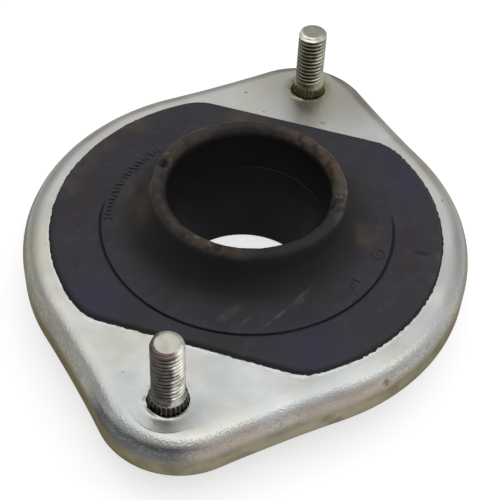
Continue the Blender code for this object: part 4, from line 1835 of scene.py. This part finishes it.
        def read(value: Socket, kind: str) -> Socket:
            """What the half section holds at this row."""
            links = {"Geometry": profile, "Value": value, "Index": row}
            return tree.out("GeometryNodeSampleIndex", links, data_type=kind)

        knurl, lead = (
            read(tree.out("GeometryNodeInputNamedAttribute", {"Name": name}, data_type="FLOAT"), "FLOAT")
            for name in ("knurl", "lead")
        )
        radius, _, rise = tree.axes(read(spot, "FLOAT_VECTOR"))
        turn = tree.math("DIVIDE", angle, tau)
        height = self._wound_height(tree, rise, lead, turn)
        reach = self._limited_reach(tree, radius, lead, height)
        reach = self._knurled_reach(tree, reach, knurl, turn, height)
        links = {
            "Geometry": tree.out("GeometryNodeMeshGrid", sheet, "Mesh"),
            "Position": tree.turned(angle, reach, height),
        }
        body = tree.out("GeometryNodeSetPosition", links)
        return tree.out("GeometryNodeMergeByDistance", {"Geometry": body, "Distance": WELD})

    @staticmethod
    def _wound_height(tree: GrowingTree, height: Socket, lead: Socket, turn: Socket) -> Socket:
        """Each row's height, with the thread's rows wound by one pitch a turn and kept in its length."""
        given = tree.given
        wound = tree.math("ADD", height, tree.product(given["Pitch"], turn))
        limits = {"Value": wound, "Min": given["Thread foot"], "Max": given["Thread top"]}
        return tree.mix(lead, height, tree.out("ShaderNodeClamp", limits))

    @staticmethod
    def _limited_reach(tree: GrowingTree, reach: Socket, lead: Socket, height: Socket) -> Socket:
        """The thread's radius, rounded over at the top and running out at its foot.

        Args:
            tree: the tree.
            reach: the radius so far.
            lead: one on the thread's rows.
            height: the rows' heights.

        Returns:
            The new radius.
        """
        given = tree.given
        below = tree.math("SUBTRACT", given["Thread top"], height)
        inwards = tree.ramp(below, high=given["Point length"], start=1.0, end=0.0)
        rounded = tree.math("SQRT", tree.math("SUBTRACT", 1.0, tree.product(inwards, inwards)))
        cut = tree.math("MINIMUM", reach, tree.mix(rounded, given["Point radius"], given["Thread radius"]))
        above = tree.math("SUBTRACT", height, given["Thread foot"])
        grown = tree.ramp(above, high=given["Run-out"], smooth=True)
        return tree.mix(lead, reach, tree.mix(grown, given["Shank radius"], cut))

    @staticmethod
    def _knurled_reach(
        tree: GrowingTree, reach: Socket, knurl: Socket, turn: Socket, height: Socket
    ) -> Socket:
        """The radius with the knurl's grooves and a little wear.

        Args:
            tree: the tree.
            reach: the radius so far.
            knurl: the share of the teeth's depth.
            turn: the share of a turn.
            height: the rows' heights.

        Returns:
            The new radius.
        """
        given = tree.given
        groove = tree.math("PINGPONG", tree.product(turn, given["Teeth"]), 0.5)
        ring = tree.turned(tree.product(turn, tau), 1.0, tree.product(height, 300.0))
        links = {"Vector": ring, "W": given["Seed"], "Scale": 5.0, "Detail": 2.0}
        uneven = tree.out("ShaderNodeTexNoise", links, "Fac", noise_dimensions="4D")
        depth = tree.math("MULTIPLY_ADD", uneven, 1.8, 0.1)
        cut = tree.product(groove, 2.0, given["Knurl depth"], knurl, depth)
        on_axis = tree.math("GREATER_THAN", reach, 0.5 * MM)
        worn = tree.product(tree.math("SUBTRACT", uneven, 0.5), given["Wear"], on_axis)
        return tree.math("SUBTRACT", tree.math("SUBTRACT", reach, cut), worn)


@dataclass(frozen=True)
class Softbox:
    """A square area light that faces the mount."""

    name: str
    place: Point3
    size: float
    watts: float

    def build(self) -> None:
        """Puts the light in the scene."""
        data = bpy.data.lights.new(self.name, "AREA")
        data.shape = "SQUARE"
        data.size = self.size
        data.energy = self.watts
        lamp = bpy.data.objects.new(self.name, data)
        bpy.context.scene.collection.objects.link(lamp)
        lamp.location = self.place
        lamp.rotation_euler = (-Vector(self.place)).to_track_quat("-Z", "Y").to_euler()


@dataclass(frozen=True)
class PhotoCamera:
    """The photograph's own camera, 491 by 500 pixels."""

    azimuth: float = radians(74.433)
    elevation: float = radians(46.652)
    roll: float = radians(2.882)
    aim: Point3 = (1.507 * MM, 0.471 * MM, 12.5 * MM)
    distance: float = 325.423 * MM
    lens: float = 86.223
    sensor: float = 36.0

    def build(self) -> None:
        """Puts the camera in the scene."""
        flat = cos(self.elevation)
        forward = Vector((sin(self.azimuth) * flat, cos(self.azimuth) * flat, -sin(self.elevation)))
        level = forward.cross(Vector((0.0, 0.0, 1.0))).normalized()
        upright = level.cross(forward)
        right = level * cos(self.roll) + upright * sin(self.roll)
        up = right.cross(forward)
        data = bpy.data.cameras.new("photo_camera")
        data.sensor_fit = "VERTICAL"
        data.sensor_height = self.sensor
        data.lens = self.lens
        data.clip_start = 0.01
        camera = bpy.data.objects.new("photo_camera", data)
        bpy.context.scene.collection.objects.link(camera)
        turn = Matrix((right, up, -forward)).transposed().to_4x4()
        camera.matrix_world = Matrix.Translation(Vector(self.aim) - forward * self.distance) @ turn
        bpy.context.scene.camera = camera


@dataclass
class Studio:
    """Floor, sky, softboxes and camera."""

    floor_radius: float = 4.0
    overhead: float = 1.27
    far_side: float = 0.4
    camera_side: float = 0.22
    left_side: float = 0.3
    right_side: float = 0.6
    dome_foot: float = 0.6
    dome_top: float = 0.9
    dome_lean: Point3 = (0.12, 0.08, 1.0)
    softboxes: tuple[Softbox, ...] = (
        Softbox("overhead_softbox", (-0.42, -0.24, 0.86), 0.4, 0.9),
        Softbox("right_softbox", (0.08, -0.74, 0.62), 0.34, 0.75),
    )

    def build(self) -> None:
        """Builds the studio around the mount."""
        self._floor()
        self._sky()
        for light in self.softboxes:
            light.build()
        PhotoCamera().build()
        bpy.context.scene.view_settings.view_transform = "Standard"

    def _floor(self) -> None:
        """The pale floor that the mount stands on."""
        shape = bmesh.new()
        bmesh.ops.create_circle(shape, cap_ends=True, segments=96, radius=self.floor_radius)
        mesh = bpy.data.meshes.new("floor")
        shape.to_mesh(mesh)
        shape.free()
        mesh.materials.append(PaperFloor().material())
        floor = bpy.data.objects.new("floor", mesh)
        bpy.context.scene.collection.objects.link(floor)

    def _sky(self) -> None:
        """A room of soft light: bright overhead, dim behind the camera, a window to its right."""
        world = bpy.data.worlds.new("soft_room")
        world.use_nodes = True
        bpy.context.scene.world = world
        sky = Graph(world.node_tree)
        way = sky.out("ShaderNodeTexCoord", result="Generated")
        x, y, _ = sky.axes(way)
        light: Source = self.camera_side
        leaned = sky.vector("DOT_PRODUCT", way, self.dome_lean, result="Value")
        for share, side in (
            (sky.fade(x, -0.4, 0.6), self.far_side),
            (sky.fade(y, 0.35, 0.9), self.left_side),
            (sky.fade(y, -0.3, -0.85), self.right_side),
            (sky.fade(leaned, self.dome_foot, self.dome_top), self.overhead),
            (sky.out("ShaderNodeLightPath", result="Is Camera Ray"), 1.0),
        ):
            light = sky.mix(share, light, side)
        background = sky.tree.nodes["Background"]
        background.inputs["Color"].default_value = (1.0, 1.0, 1.0, 1.0)
        feed(sky.tree, background.inputs["Strength"], light)


def main() -> None:
    """Builds the studio and every piece of the mount, in order."""
    logging.basicConfig(level=logging.INFO, format="%(name)s: %(message)s")
    layout = MountLayout.from_frame()
    pad = PadPlan(radius=layout.main_radius - 7.4 * MM, flat=layout.stud_x - 16.6 * MM)
    plan = LensPlan(layout.main_radius, layout.shell_reach)
    Studio().build()
    PressedShell(layout, plan).build(ZincPlate().material(layout, pad))
    InnerSleeve(layout).build(DrawnSteel().material())
    rubber = MouldedRubber().material(layout)
    RubberInsulator(layout, pad).build(rubber, MouldMarks(layout).build(rubber))
    stud = PressInStud(layout)
    steel = StudSteel().material(layout, layout.top_z + stud.knurl_rise)
    for side, way in (("left", -1.0), ("right", 1.0)):
        stud.build(side, way, steel)
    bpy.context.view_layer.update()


if __name__ == "__main__":
    main()
